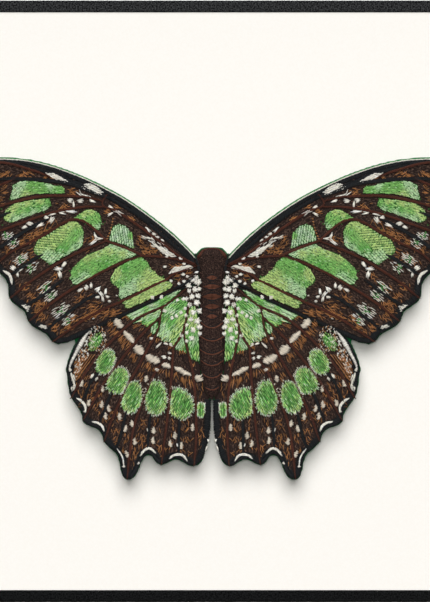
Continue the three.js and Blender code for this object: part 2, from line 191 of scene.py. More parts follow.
# %% Edges of the right forewing
FOREWING_COSTA = [
    (228.4, 256.9), (240, 244.6), (260, 226.7), (280, 211.8), (300, 198.7), (320, 188.2), (340, 178.9),
    (360, 171), (380, 164.8), (400, 160.5), (420, 158.7), (440, 158.9), (458, 163), (472, 171.5),
    (480, 182),
]
FOREWING_MARGIN = [
    (480, 182), (480.5, 189), (476.5, 198), (471, 207), (466.5, 214.5), (464, 220.5), (458.5, 225.5),
    (453, 231.5), (451, 237.5), (446.5, 243.5), (440, 250.5), (437, 258.5), (436, 266.5), (430.5, 272),
    (424.5, 277.5), (421, 284), (420.2, 291), (419.3, 297), (415, 302.5), (407, 308), (402.3, 312),
    (400.3, 318.5), (395.5, 325), (387, 329.8), (379, 334.5), (375, 340.3), (368.5, 343.4),
]
FOREWING_TRAILING = [
    (368.5, 343.4), (358, 341.2), (346, 335.8), (330, 329), (314, 321.3), (298, 314.3), (282, 306.4),
    (266, 299.3), (250, 292), (236, 286.3), (224.2, 281.5),
]
costa, margin, trailing = smooth(FOREWING_COSTA), smooth(FOREWING_MARGIN), smooth(FOREWING_TRAILING)
print("points along the forewing's edges:", len(costa), len(margin), len(trailing))

# %% [markdown]
# ## The hindwing
# The margin runs from under the forewing, round the tail, to the body. The upper side is the forewing's
# trailing edge, a little lower, so that the hindwing's thread stays off the forewing.

# %% Margin of the right hindwing
HINDWING_MARGIN = [
    (345.2, 336.6), (350.5, 344), (355, 354), (358.2, 363), (359.4, 369.5), (358, 377), (357, 386),
    (354.8, 395), (350, 402.5), (345, 409), (342.4, 415), (341.5, 421), (335, 425), (326.5, 428),
    (321.5, 433.5), (319.5, 440.5), (313, 447.2), (306, 453), (303, 460.5), (301, 470), (298.5, 476.6),
    (294.3, 478.8), (289, 476.6), (284.5, 470), (281.5, 462), (277.5, 455.5), (273.5, 453.9),
    (269, 455.6), (265, 461.3), (260.5, 463.9), (255, 462), (247, 458.3), (239, 460.4), (230.5, 465.6),
    (224.5, 462.2), (220.3, 456), (218.2, 447.5), (215.7, 440), (214, 430), (213.5, 418), (213.3, 399.6),
]
BELOW_FOREWING = 0.9
hind_margin = smooth(HINDWING_MARGIN)
hind_upper = smooth(FOREWING_TRAILING[2:])[::-1] + (0, BELOW_FOREWING)
print("points along the hindwing's margin:", len(hind_margin))

# %% [markdown]
# ## The body's edge
# The body is a stuffed roll, so half its width at each height says its whole outline. The wings end just
# beside it, which closes their outlines.

# %% Half widths of the body
BODY_EDGE = [
    (247.4, 0), (247.8, 6), (249, 9.5), (251.5, 12.5), (255, 15.2), (259, 15.4), (264, 14.4), (269, 12.9),
    (275, 11.8), (284, 11.2), (296, 11), (306, 11.2), (316, 11.8), (334, 12.1), (346, 12.2), (359, 11.6),
    (371, 10.2), (383, 8.1), (391, 6), (395, 4), (397.5, 2), (398.2, 0),
]
BODY_FLATNESS = 0.62
BESIDE_BODY = 0.9


def body_half_width(y):
    """Half the body's width in pixels at a height of the drawing."""
    heights, halves = np.array(BODY_EDGE).T
    return np.interp(y, heights, halves)


def beside_body(from_y, to_y):
    """The inner side of a wing, along the body."""
    y = np.linspace(from_y, to_y, 24)
    return np.c_[AXIS + body_half_width(y) + BESIDE_BODY, y]


forewing_outline = np.vstack([costa, margin, trailing, beside_body(281, 258)])
hindwing_outline = np.vstack([hind_upper, hind_margin, beside_body(396, 284)])
print("outline points:", len(forewing_outline), len(hindwing_outline))

# %% [markdown]
# ## Threads
# Every stitch has the colour of its spool. Colours are written as they look on a screen and turned into
# the linear values that a shader needs.

# %% Thread colours
THREADS = {
    "ground": (77, 62, 54),
    "ground dark": (50, 39, 35),
    "ground pale": (102, 80, 69),
    "caramel": (178, 124, 77),
    "black": (27, 29, 31),
    "vein": (84, 48, 37),
    "dark vein": (82, 48, 38),
    "felt": (64, 128, 72),
    "deep": (64, 130, 58),
    "leaf": (120, 196, 98),
    "green": (147, 208, 116),
    "yellow": (208, 232, 150),
    "mint": (212, 243, 196),
    "pale": (212, 236, 206),
    "cream": (220, 210, 193),
    "white": (240, 236, 224),
    "silver": (224, 220, 212),
    "body": (74, 56, 50),
    "rust": (106, 65, 49),
}


def linear(colour):
    """A colour as it looks, 0 to 255, as linear values."""
    c = np.asarray(colour, float) / 255
    return np.where(c <= 0.04045, c / 12.92, ((c + 0.055) / 1.055) ** 2.4)


print("threads:", ", ".join(THREADS))

# %% [markdown]
# ## A plan of stitches
# A plan lists every stitch before any mesh is made. A material for every colour would be heavy, so the
# colour goes with the stitch, with a little chance in it because each strand lies at its own angle to the
# light. A plan can be mirrored for the left half.

# %% Plan
BRIGHTEST = 0.95


class Plan:
    """A list of stitches: place, angle, length, width, lift off the cloth in mm, and colour.

    Places, lengths and widths are in pixels. Angles are in radians, counter-clockwise on the picture.
    """

    def __init__(self):
        self.rows = []

    def add(self, x, y, angle, length, width, lift, thread, spread=0.1):
        """Adds a stitch. The thread is one of the names above, or a linear colour of its own."""
        base = linear(THREADS[thread]) if isinstance(thread, str) else thread
        colour = np.clip(base * (1 + rng.normal(0, spread)), 0, BRIGHTEST)
        self.rows.append((x, y, angle, length, width, lift, *colour))

    def mirrored(self):
        """The same stitches on the left half."""
        other = Plan()
        for x, y, angle, *rest in self.rows:
            other.rows.append((left_side(x, y), y, math.pi - angle, *rest))
        return other


print("a plan starts with", len(Plan().rows), "stitches")

# %% [markdown]
# ## Stem stitch
# Stem stitch makes a line out of short, slanted stitches that overlap, in as many lanes as the line is
# wide. It sews the veins, the black lines and the arcs on the body. Like every stitch here, it is a
# function that adds to a plan.

# %% Stem stitch
HAND_STRAY = 0.12
STEM_STEP = 0.42
STEM_OVERLAP = 1.2


def heading(along):
    """The angle of a direction of the drawing, whose y points down."""
    return math.atan2(-along[1], along[0])


def turned(degrees):
    """A direction of the drawing and the one square to it, for an angle on the finished picture."""
    turn = math.radians(degrees)
    return np.array([math.cos(turn), -math.sin(turn)]), np.array([math.sin(turn), math.cos(turn)])


def stem(plan, points, width, thread, lift, length=6.0, slant=0.16, strand=1.5, taper=True, spread=0.1):
    """A line of overlapping, slightly slanted stitches, in as many lanes as its width needs."""
    lanes = max(1, int(round(width / strand)))
    line, along = spaced(smooth(points), length * STEM_STEP)
    for i, (point, way) in enumerate(zip(line, along)):
        end = min(i, len(line) - 1 - i) / max(1, len(line) - 1)
        full = width * (min(1, 0.5 + 2.5 * end) if taper else 1)
        side = np.array([-way[1], way[0]])
        for lane in range(lanes):
            offset = ((lane + 0.5) / lanes - 0.5) * full
            x, y = point + side * offset + rng.normal(0, HAND_STRAY, 2)
            angle = heading(way) + slant
            plan.add(x, y, angle, length, full / lanes * STEM_OVERLAP, lift, thread, spread)


print("a stem stitch starts every", STEM_STEP, "of its length")

# %% [markdown]
# ## Satin stitch
# Satin stitch fills a band, such as the black borders, with strands that run side by side from one edge
# to the other. Long strands are split, as an embroiderer does so that they don't snag.

# %% Satin stitch
SATIN_REACH = 1.08
SATIN_SHORTEST = 0.8


def even_points(edge, at):
    """Points of a line at shares of its length."""
    edge = np.asarray(edge, float)
    lengths = np.r_[0, np.cumsum(np.linalg.norm(np.diff(edge, axis=0), axis=1))]
    lengths /= lengths[-1]
    return np.c_[np.interp(at, lengths, edge[:, 0]), np.interp(at, lengths, edge[:, 1])]


def satin(plan, first, second, thread, lift, pitch=1.1, width=1.5, longest=9.0, spread=0.12):
    """Stitches that run from one edge to the other, side by side."""
    steps = max(2, int(round(max(len(first), len(second)) / pitch)))
    at = np.linspace(0, 1, steps)
    for start, end in zip(even_points(first, at), even_points(second, at)):
        span = end - start
        reach = np.linalg.norm(span)
        if reach < SATIN_SHORTEST:
            continue
        parts = max(1, int(math.ceil(reach / longest)))
        for part in range(parts):
            x, y = start + span * (part + 0.5) / parts + rng.normal(0, HAND_STRAY, 2)
            angle = heading(span / reach) + rng.normal(0, 0.05)
            plan.add(x, y, angle, reach / parts * SATIN_REACH, width, lift, thread, spread)


print("the shortest satin stitch is", SATIN_SHORTEST, "pixels")

# %% [markdown]
# ## Ovals and petals
# An oval is a few satin stitches across its length, and a petal is a few strands along it. Each has some
# chance in its edge, because a needle never comes up twice in the same hole.

# %% Ovals and petals
OVAL_STRAND = 1.3
PETAL_STRAND = 1.35
PETAL_LANE = 0.95


def blob(plan, x, y, long, wide, degrees, thread, lift, pitch=0.9, pointed=0.55, drop=0.0):
    """A small oval of stitches across its long axis, with ragged edges and maybe a narrow end."""
    way, side = turned(degrees)
    count = max(2, int(round(long / pitch)))
    for s in (np.arange(count) + 0.5) / count * 2 - 1:
        reach = wide * max(0.22, (1 - s * s) ** pointed) * (1 - drop * s) * rng.uniform(0.78, 1.16)
        px, py = np.array([x, y]) + way * s * long / 2 * 0.92 + side * rng.normal(0, 0.35)
        angle = heading(side) + 0.25 + rng.normal(0, 0.12)
        plan.add(px, py, angle, reach, OVAL_STRAND, lift + rng.uniform(0, 0.06), thread, 0.1)


def petal(plan, x, y, long, wide, degrees, thread, lift):
    """A small mark of a few strands side by side along its length."""
    way, side = turned(degrees)
    lanes = max(1, int(round(wide / PETAL_LANE)))
    for lane in (np.arange(lanes) + 0.5) / lanes * 2 - 1:
        reach = long * (1 - 0.35 * lane * lane) * rng.uniform(0.74, 1.12)
        slip = rng.normal(0, 0.07)
        across = lane * (wide / 2 - 0.5) + rng.normal(0, 0.2)
        px, py = np.array([x, y]) + side * across + way * slip * long
        angle = math.radians(degrees) + rng.normal(0, 0.16)
        plan.add(px, py, angle, reach, PETAL_STRAND, lift + rng.uniform(0, 0.08), thread, 0.14)


print("widths of their strands, in pixels:", OVAL_STRAND, PETAL_STRAND)

# %% [markdown]
# ## Knots and brushed strands
# A knot is a bunch of short ends that cross in the middle, and brushed strands feather out along a line.
# Both could be small meshes of their own, but strands set by chance look less alike.

# %% Knots and brushed strands
KNOT_STRAND = 1.4


def knot(plan, x, y, radius):
    """A raised white knot: short, thick ends that stand out unevenly all round and cross in the middle."""
    count = 6 + int(radius * 2)
    for turn in (np.arange(count) + rng.uniform(-0.5, 0.5, count)) * 2 * math.pi / count:
        reach = radius * rng.uniform(0.68, 1.1)
        px, py = x + math.cos(turn) * reach * 0.5, y - math.sin(turn) * reach * 0.5
        angle = turn + rng.normal(0, 0.25)
        plan.add(px, py, angle, reach + 0.4, KNOT_STRAND, rng.uniform(0.26, 0.5), "white", 0.15)


def brush(plan, points, width, thread, lift, count, length=6.0, strand=1.0):
    """Thin strands strewn along a line, as a needle feathers an edge."""
    line, along = spaced(smooth(points), 0.7)
    for i in rng.integers(0, len(line), count):
        side = np.array([-along[i][1], along[i][0]])
        x, y = line[i] + side * rng.normal(0, width * 0.32)
        angle = heading(along[i]) + rng.normal(0, 0.14)
        long = length * rng.uniform(0.6, 1.25)
        plan.add(x, y, angle, long, strand, lift + rng.uniform(0, 0.1), thread, 0.16)


print("width of a knot's strands, in pixels:", KNOT_STRAND)

# %% [markdown]
# ## Filling an area
# A machine fills an area with rows of short stitches, each row starting a little further on than the
# last. The greens also change across a patch, so a patch has shades. A stitch lies at the angle of the
# shade nearest to it, and its colour is blended from the shades around it.

# %% Filling stitch
LADDER_ROW = 2.4
LADDER_STEP = 1.2
LADDER_TURN = 52
ROW_STEP = 0.86
ROW_SHIFT = 0.29
END_SHARE = 0.42
SHORT_STITCH = 0.6
ACCENT_SHARE = 0.65


def tatami(plan, outline, shades, lift, length=2.5, width=1.15, pitch=1.15, spread=0.14, accents=0.14,
           ribs=0.16, others=("deep", "deep", "mint", "yellow"), ladders=()):
    """Rows of short stitches all over an outline, as a machine lays them.

    Every other row is a little darker, which is painted shade between raised rows, and a few stitches are
    accents of another thread. At the outline the stitches are shorter. At an angle in ladders, the rows
    are wider and their stitches lie across them.
    """
    outline = np.asarray(outline, float)
    middle, reach = outline.mean(axis=0), np.ptp(outline, axis=0).max()
    centres = np.array([shade[:2] for shade in shades], float)
    colours = np.array([linear(THREADS[shade[2]]) for shade in shades])
    angles = np.array([shade[3] for shade in shades], float)
    for degrees in np.unique(angles):
        way, side = turned(degrees)
        ladder = degrees in ladders
        rows = np.arange(-reach, reach, LADDER_ROW if ladder else pitch)
        steps = np.arange(-reach, reach, LADDER_STEP if ladder else length * ROW_STEP)
        row, step = (grid.ravel() for grid in np.meshgrid(np.arange(len(rows)), steps, indexing="ij"))
        spots = middle + (step + row % 3 * length * ROW_SHIFT)[:, None] * way + rows[row][:, None] * side
        spots = spots + rng.normal(0, 0.14, spots.shape)
        held = inside(outline, spots)
        ends = [inside(outline, spots + way * length * END_SHARE * end) for end in (-1, 1)]
        for (x, y), odd, whole in zip(spots[held], row[held] % 2, (ends[0] & ends[1])[held]):
            gaps = np.linalg.norm(centres - (x, y), axis=1)
            if angles[(gaps * rng.uniform(0.9, 1.12, len(gaps))).argmin()] != degrees:
                continue
            weight = 1 / (gaps + 1.2) ** 4
            # painted shade: every other row's colour is darkened, standing in for shade between raised rows
            colour = (weight[:, None] * colours).sum(axis=0) / weight.sum() * (1.0 - ribs * odd)
            if rng.random() < accents:
                accent = linear(THREADS[rng.choice(others)])
                colour = (1 - ACCENT_SHARE) * colour + ACCENT_SHARE * accent
            angle = math.radians(degrees + (LADDER_TURN if ladder else 0)) + rng.normal(0, 0.06)
            long = length * (rng.uniform(0.85, 1.15) if whole else SHORT_STITCH)
            plan.add(x, y, angle, long, width, lift + rng.uniform(0, 0.1), colour, spread)


print("rows of a ladder, in pixels:", LADDER_ROW)

# %% [markdown]
# ## The veins
# The veins are drawn before anything is sewn, because the brown ground follows them: each ground stitch
# takes the direction of the nearest vein. That gives the wing its fan-like grain.

# %% Vein lines
FOREWING_VEINS = [
    [(229, 264), (245, 256), (265, 241), (285, 226.5), (305, 213.5), (313, 209.5), (319, 208), (323, 205),
     (323, 201), (319.5, 196)],
    [(324, 201), (340, 197.5), (350, 196.5), (370, 196), (390, 197), (410, 201), (430, 206.5),
     (448, 212.5), (463, 219)],
    [(321, 207), (340, 207), (360, 209.5), (380, 214), (400, 220.5), (420, 227.5), (437, 233.5),
     (449, 238)],
    [(231, 264.5), (250, 258.8), (270, 256.3), (280, 255.8), (290, 252), (300, 247.8), (318, 241),
     (325, 235.5), (335, 226.5), (345, 220.7), (355, 219.8), (365, 223.5), (380, 232.5), (400, 243),
     (420, 253), (434.5, 265.5)],
    [(284, 256.5), (300, 261.5), (320, 270), (340, 280.5), (360, 292.5), (380, 306), (398, 320.5)],
    [(320, 241.5), (340, 249), (360, 258), (380, 269.5), (400, 283), (418, 297.5)],
    [(228, 266), (245, 272), (252, 275), (258, 280), (265, 283), (285, 293), (300, 300), (320, 308.5),
     (340, 318.5), (360, 332), (373, 341)],
    [(378, 177), (390, 172.5), (400, 169.5), (410, 166.5), (420, 164), (430, 162.8), (445, 164),
     (460, 169)],
    [(412, 177), (424, 183), (440, 189), (458, 194.5), (475, 199)],
]
HINDWING_VEINS = [
    [(238, 289), (250, 299.5), (260, 306.5), (270, 310.5), (280, 315), (290, 320.5), (305, 333.5),
     (321, 349), (336, 367), (343, 378), (354, 397)],
    [(261, 308), (262, 314), (264, 318), (276, 329), (290, 344), (304, 361), (318, 379), (332, 402),
     (341, 419)],
    [(262.5, 317), (263.5, 324), (267, 334.5), (275, 348), (285, 366.5), (295, 383), (305, 404),
     (313, 422), (319, 440)],
    [(234, 303), (237, 320), (241, 334), (249, 347), (250, 355), (251, 375), (253, 400), (255, 420),
     (257.5, 440), (260, 463)],
    [(238.5, 335), (235.5, 350), (231.5, 367), (229, 388), (227.5, 412), (227.5, 440), (229, 464)],
    [(259, 361), (268, 373), (275, 389), (284, 411), (290, 432), (293.5, 460), (295, 477)],
]
VEIN_SAMPLE = 3.0
vein_samples = {}
for name, lines in (("forewing", FOREWING_VEINS), ("hindwing", HINDWING_VEINS)):
    parts = [spaced(smooth(line), VEIN_SAMPLE) for line in lines]
    vein_samples[name] = (np.vstack([p for p, _ in parts]), np.vstack([w for _, w in parts]))


def grain(wing, points):
    """The angle of the nearest vein at each point."""
    places, ways = vein_samples[wing]
    gaps = ((np.asarray(points)[:, None, :] - places[None, :, :]) ** 2).sum(axis=2)
    return np.array([heading(ways[i]) for i in gaps.argmin(axis=1)])


print("vein lines:", len(FOREWING_VEINS) + len(HINDWING_VEINS))

# %% [markdown]
# ## Black borders
# A black satin border runs round every wing, between the wing's edge and the same line moved inwards.
# Along the trailing edge it widens towards the margin. Along the leading edge, its inner side is drawn by
# itself, because white marks cut into it.

# %% Borders in satin stitch
COSTAL_INNER = [
    (230, 263.5), (240, 255), (250, 246), (260, 237), (270, 228.5), (280, 220.5), (290, 213.5),
    (300, 207.5), (310, 201.5), (320, 197), (330, 192), (340, 187.5), (347, 185.2), (357, 182),
    (362, 178.3), (367, 176), (371, 174), (376, 173.1), (382, 172.6), (390, 169.8), (400, 166.8),
    (410, 164.6), (420, 163.3), (430, 162.6), (445, 164), (458, 168.5), (467, 174.5), (473, 182),
]
BORDER_LIFT = 0.12
TRAILING_LIFT = 0.2
FOREWING_BORDER = 7.0
HINDWING_BORDER = 6.6
COSTAL_GAP = 1.6
COSTAL_OVERLAP = 1.8
TRAILING_WIDE, TRAILING_NARROW = 5.0, 0.7
EDGE_OVERHANG, TRAILING_OVERHANG = 0.1, 1.0


def inset(line, distance):
    """The line moved to its right side as it is travelled, which is the wing's inside."""
    points, along = spaced(line, 1.0)
    wide = np.ones(7) / 7
    ways = np.c_[[np.convolve(np.pad(along[:, i], 3, mode="edge"), wide, "valid") for i in (0, 1)]].T
    ways /= np.linalg.norm(ways, axis=1, keepdims=True)
    return points + np.c_[-ways[:, 1], ways[:, 0]] * distance


def trailing_edges():
    """Both sides of the border along the forewing's trailing edge, from the tip to the body."""
    outer = np.linspace(1, 0, len(inset(trailing, 0)))[:, None]
    free = np.clip(6 * outer - 5, 0, 1)
    low = free * inset(trailing, -EDGE_OVERHANG) + (1 - free) * inset(trailing, -TRAILING_OVERHANG)
    wide = outer**1.6
    return low, wide * inset(trailing, TRAILING_WIDE) + (1 - wide) * inset(trailing, TRAILING_NARROW)


border = Plan()
costal_inner = inset(smooth(COSTAL_INNER), COSTAL_OVERLAP)
satin(border, inset(costa, COSTAL_GAP), costal_inner, "black", BORDER_LIFT)
satin(border, inset(margin, -EDGE_OVERHANG), inset(margin, FOREWING_BORDER), "black", BORDER_LIFT)
satin(border, *trailing_edges(), "black", TRAILING_LIFT)
satin(border, inset(hind_margin, -EDGE_OVERHANG), inset(hind_margin, HINDWING_BORDER), "black", BORDER_LIFT)
print("border stitches on one side:", len(border.rows))

# %% [markdown]
# ## Black lines and the edge's two colours
# Short black lines run in from the margin between the veins, a little higher than the border. Along the
# leading edge, a thin white line lies between the black and the green felt, and a green thread closes the
# edge itself.

# %% Black lines and edging
BLACK_LINES = [
    ([(318, 198), (326, 195.5), (340, 190), (350, 186), (360, 183.5), (370, 182), (380, 181), (390, 180),
      (412, 179), (430, 179.5), (450, 183)], 2.8),
    ([(381, 219.5), (390, 223.5), (400, 229), (410, 235), (420, 241), (430, 248), (440, 253)], 3.0),
    ([(388, 255.5), (393, 258), (400, 263), (408, 268), (416, 273)], 2.6),
    ([(366, 281), (372, 285), (380, 291.5), (388, 297), (396, 302), (401, 305)], 2.4),
    ([(330, 295), (340, 300), (350, 306.5), (360, 314), (370, 321), (378, 328)], 2.4),
    ([(327, 373), (333, 380), (337, 388), (340, 395), (342, 399)], 2.2),
    ([(313, 392), (316, 400), (319, 408), (322, 415), (323.5, 420)], 2.2),
    ([(297, 412), (300, 425), (303, 437), (306, 447)], 2.2),
    ([(272, 416), (273, 425), (273.5, 435), (274, 445)], 2.2),
    ([(243, 420), (243, 435), (243, 450.5)], 2.2),
    ([(421, 213), (436, 219), (448, 226), (455, 230)], 2.4),
    ([(229, 276.5), (235, 281), (241, 284.5), (248, 288)], 2.0),
]
SHOULDER = [(228.4, 256.4), (227.4, 260), (226, 265), (225, 270)]
WING_CORNER = [(346, 335.6), (351, 337.8), (357, 340.4)]
LINE_LIFT = 0.46
LINE_FULLNESS = 0.3
EDGING_WIDTH = 0.8
GREEN_INSET, WHITE_INSET = 0.25, 1.05
for line, width in BLACK_LINES:
    stem(border, line, width + LINE_FULLNESS, "black", LINE_LIFT)
stem(border, SHOULDER, 2.4, "black", 0.1, taper=False)
stem(border, WING_CORNER, 1.6, "black", 0.0, taper=False)
edging = Plan()
stem(edging, inset(costa, GREEN_INSET), EDGING_WIDTH, "felt", 0.1, length=5, taper=False)
stem(edging, inset(costa, WHITE_INSET), EDGING_WIDTH, "white", 0.15, length=3.0, slant=0.4, taper=False)
print("border and edging stitches on one side:", len(border.rows) + len(edging.rows))

# %% [markdown]
# ## Green patches of the forewing
# The green areas are painted with the needle in several greens, each with its own lay of thread. An area
# is an outline and its shades, and a shade is a place, a thread and an angle in degrees. They are drawn
# one by one, because a texture has no single stitches. At some angles the stitches form ladders.

# %% Green patches of the forewing
OUTER_GREENS = {
    "tip, upper": (
        [(362.5, 193.5), (363.5, 189), (366, 186.5), (373, 186), (378, 184), (385, 183), (392, 182),
         (400, 181), (407, 181.5), (412, 183.5), (417, 185.5), (417, 190), (418.5, 194), (419.5, 198),
         (418, 200.5), (408, 197.5), (400, 195.5), (392, 194), (380, 193.7), (370, 193.8)],
        [(370, 190, "green", 0), (385, 189, "green", 2), (398, 188, "green", -10),
         (408, 184, "mint", -20), (414, 192, "mint", -50), (402, 196, "yellow", -12),
         (378, 184.5, "mint", 10), (394, 184, "green", 4)],
    ),
    "tip, lower": (
        [(379, 198.8), (385, 198.8), (392, 200), (400, 201), (408, 202.5), (415, 204), (420, 207),
         (424, 210.5), (425, 213.5), (421.5, 213.8), (425, 216), (426, 219), (424, 221), (419, 222.8),
         (413, 221), (405, 218), (398, 215.5), (390, 212.5), (383, 211), (380, 208.5), (377, 205.5),
         (377.5, 202)],
        [(388, 201.5, "yellow", -8), (402, 204, "yellow", -12), (415, 208, "yellow", -18),
         (388, 206.5, "leaf", -12), (400, 209, "leaf", -15), (410, 212, "green", -18),
         (384, 209.5, "mint", -28), (396, 213.5, "mint", -28), (408, 217.5, "mint", -28),
         (417, 220.5, "mint", -30), (422, 217, "yellow", -20), (379, 203, "green", -10)],
    ),
    "elbow": (
        [(330, 211.5), (334, 210), (340, 209.8), (343, 211.5), (347, 214), (351, 217), (353.5, 218.5),
         (348, 219.5), (343, 221), (338, 224), (333, 227.5), (328.5, 230), (326, 228.5), (324.5, 224),
         (324.5, 220), (326, 215)],
        [(336, 212, "yellow", -10), (343, 214.5, "yellow", -15), (327, 216, "green", 60),
         (330, 221, "green", 50), (337, 219, "green", 25), (347, 217.5, "green", -10),
         (326.5, 227, "mint", 55)],
    ),
    "large outer": (
        [(349, 222.5), (354, 221.5), (358, 222), (362, 225), (368, 227.5), (374, 231), (380, 235),
         (386, 238), (391, 241), (393, 245), (395, 249.5), (393.5, 253.5), (390, 255.5), (387.5, 257.5),
         (384, 260.5), (380.5, 262.5), (378, 265), (372, 261.5), (365, 257.5), (358, 254), (352, 250.5),
         (347, 248), (344, 245), (343.5, 238), (343, 232), (345, 227)],
        [(350, 224.5, "yellow", 0), (358, 225.5, "yellow", 0), (368, 231, "yellow", 4),
         (377, 238, "yellow", 4), (385, 243, "yellow", 4), (390, 250, "yellow", 4),
         (366, 238, "yellow", 4), (374, 246, "yellow", 4), (350, 231, "green", 70),
         (352, 239, "green", -50), (361, 243.5, "green", -50), (367, 249, "leaf", -50),
         (360, 249, "leaf", -50), (346, 243, "mint", -50), (350, 248, "mint", -40),
         (357, 252, "mint", -40), (366, 257, "mint", -48), (374, 257, "mint", -48),
         (381, 256, "mint", -48), (376, 262, "mint", -40)],
    ),
}
GREEN_LIFT = 0.22
LADDERS = {"large outer": (4, -48), "pale cell": (80,), "long middle": (-33,)}
green = Plan()
underlays = []


def sew_areas(areas, **how):
    """Fills areas with green thread and keeps their outlines for the cloth under them."""
    for name, (outline, shades) in areas.items():
        tatami(green, outline, shades, GREEN_LIFT, ladders=LADDERS.get(name, ()), **how)
        underlays.append(outline)


sew_areas(OUTER_GREENS)
print("green stitches so far:", len(green.rows))

# %% [markdown]
# ## Inner patches of the forewing
# The patches nearer the body go on from the pale cell to a narrow strip along the trailing edge. The same
# function sews them, so only their outlines and shades are new.

# %% Inner patches of the forewing
INNER_GREENS = {
    "pale cell": (
        [(292, 234.5), (295, 231), (300, 226), (305, 225), (310, 225.5), (313, 228), (314, 232),
         (315.5, 237), (315.5, 240.5), (308, 242.5), (300, 245), (294, 247.5), (291.5, 248),
         (291.5, 243)],
        [(300, 232, "pale", 80), (308, 228, "mint", 80), (310, 236, "pale", 80), (297, 241, "pale", 80),
         (304, 240, "mint", 80), (313, 234, "mint", 80), (294, 236, "green", 80)],
    ),
    "long middle": (
        [(286.5, 255), (292, 252), (300, 248.5), (307, 246.5), (313, 244.5), (316, 244.5), (319, 247),
         (325, 250), (332, 252), (339, 255), (344, 258.5), (349, 263), (354, 268), (356.5, 272),
         (355.5, 276), (358, 278.5), (355, 281), (354, 284), (349, 284.5), (342, 281), (335, 277),
         (327, 272), (318, 268), (310, 263.5), (302, 260), (294, 257.5)],
        [(294, 253, "mint", 25), (304, 248.5, "mint", 20), (313, 246, "mint", 15),
         (303, 253, "yellow", -20), (315, 251, "yellow", -20), (327, 252.5, "yellow", -22),
         (338, 257, "yellow", -25), (310, 258, "green", -25), (322, 260, "green", -28),
         (334, 264, "green", -30), (345, 268, "green", -35), (320, 265, "leaf", -25),
         (332, 271, "green", -30), (342, 277, "mint", -33), (350, 282, "mint", -33),
         (352, 274, "green", -40)],
    ),
    "large inner": (
        [(283, 257), (288, 257.5), (295, 261), (303, 265), (309, 268.5), (312, 273), (315, 279),
         (313, 283.5), (309, 286), (306, 289), (305.5, 293), (306, 296), (303.5, 299), (299, 297),
         (290, 293), (280, 289), (272, 285), (264, 281.5), (259, 279), (263, 276.5), (267, 275),
         (269, 271.5), (273, 269), (275, 265), (277, 261.5), (280, 259.5)],
        [(285, 260, "green", -30), (293, 264, "green", -30), (300, 268, "leaf", -30),
         (308, 272, "yellow", -60), (312, 278, "yellow", -60), (280, 266, "green", -40),
         (276, 272, "yellow", -35), (268, 277, "yellow", -30), (264, 280, "yellow", -28),
         (288, 272, "green", -40), (297, 278, "green", -40), (291, 283, "mint", 0), (295, 287, "mint", 0),
         (303, 291, "mint", -30), (303, 297, "mint", -40), (283, 284, "yellow", -28),
         (275, 282, "yellow", -28), (305, 284, "green", -50)],
    ),
    "trailing strip": (
        [(258, 281), (265, 284.5), (275, 289.5), (285, 294.5), (293, 298), (300, 301.5), (302, 303),
         (299, 304.5), (299.5, 307), (296, 308.2), (290, 306.2), (280, 301.7), (270, 296.7), (260, 291.7),
         (253, 287.6), (251.5, 284.5), (254, 282)],
        [(256, 284, "yellow", -27), (276, 294, "yellow", -27), (296, 304.5, "yellow", -27)],
    ),
}
sew_areas(INNER_GREENS)
print("green stitches on one forewing:", len(green.rows))

# %% [markdown]
# ## Green patches of the hindwing
# Near the body the hindwing's green lies between the veins like a fan. The same filling stitch makes it,
# with longer and thinner stitches, and more of them are pale.

# %% Green patches of the hindwing
HINDWING_GREENS = {
    "upper strip": (
        [(242, 288.6), (250, 292.4), (260, 297.8), (270, 302.8), (280, 307.3), (290, 311.9), (297.5, 315),
         (295, 318), (291, 320), (284, 316.5), (275, 312), (266, 308), (258, 304), (251, 298.5),
         (245, 293)],
        [(250, 295, "mint", -28), (262, 301, "green", -26), (272, 306, "mint", -25),
         (284, 312, "mint", -24), (293, 316, "mint", -24), (256, 299, "green", -28),
         (278, 309, "green", -25)],
    ),
    "wedge": (
        [(262, 309), (270, 312.5), (280, 317), (290, 323), (284, 322), (280, 324), (276, 327),
         (270, 322.5), (265, 318), (262.5, 313)],
        [(268, 313, "mint", -28), (276, 318, "mint", -28), (284, 320.5, "mint", -25),
         (272, 320, "green", -30), (278, 324, "green", -35)],
    ),
    "small wedge": (
        [(264.5, 320), (268, 323), (272, 327.5), (272, 331), (270, 334), (267.5, 333), (265.5, 328)],
        [(267, 325, "green", -40), (270, 329, "mint", -45)],
    ),
    "fan": (
        [(240, 297), (247, 298), (253, 303), (259, 307.5), (261, 314), (262, 322), (264, 330),
         (266.5, 335.5), (263, 337), (260, 341), (255, 341.5), (251, 344), (249, 345.5), (245, 339),
         (241.5, 333.5), (239.5, 326), (238, 317), (236.5, 308), (236, 301)],
        [(243, 301, "green", -35), (250, 304, "green", -40), (245, 310, "green", -40),
         (252, 312, "mint", -42), (250, 320, "leaf", -50), (254, 327, "leaf", -50),
         (243, 322, "yellow", -50), (247, 330, "yellow", -50), (251, 337, "yellow", -55),
         (243, 331, "yellow", -55), (258, 318, "green", -50), (259, 327, "mint", -45),
         (261, 334, "mint", -45), (255, 334, "mint", -45), (258, 339, "mint", -45),
         (249, 342, "yellow", -50)],
    ),
    "fan foot": (
        [(240, 336.5), (244, 341), (248, 348), (245, 350), (240, 350.5), (236.5, 353), (237.5, 346),
         (239, 340)],
        [(241, 342, "mint", -60), (244, 347, "mint", -60), (239, 348, "green", -60)],
    ),
    "body strip": (
        [(229, 306), (233, 307), (235.5, 314), (236.5, 322), (238, 330), (238, 335), (236, 341),
         (234.5, 348), (233, 355), (231, 359), (227, 360.5), (224.5, 361), (225, 350), (225.5, 335),
         (226, 320), (227, 311)],
        [(230, 309, "yellow", -60), (231, 318, "yellow", -60), (229, 326, "yellow", -60),
         (231, 334, "green", -70), (228, 341, "mint", -70), (231, 349, "green", -75),
         (227.5, 355, "yellow", -80), (226.5, 348, "green", -85), (229, 358, "green", -80)],
    ),
}
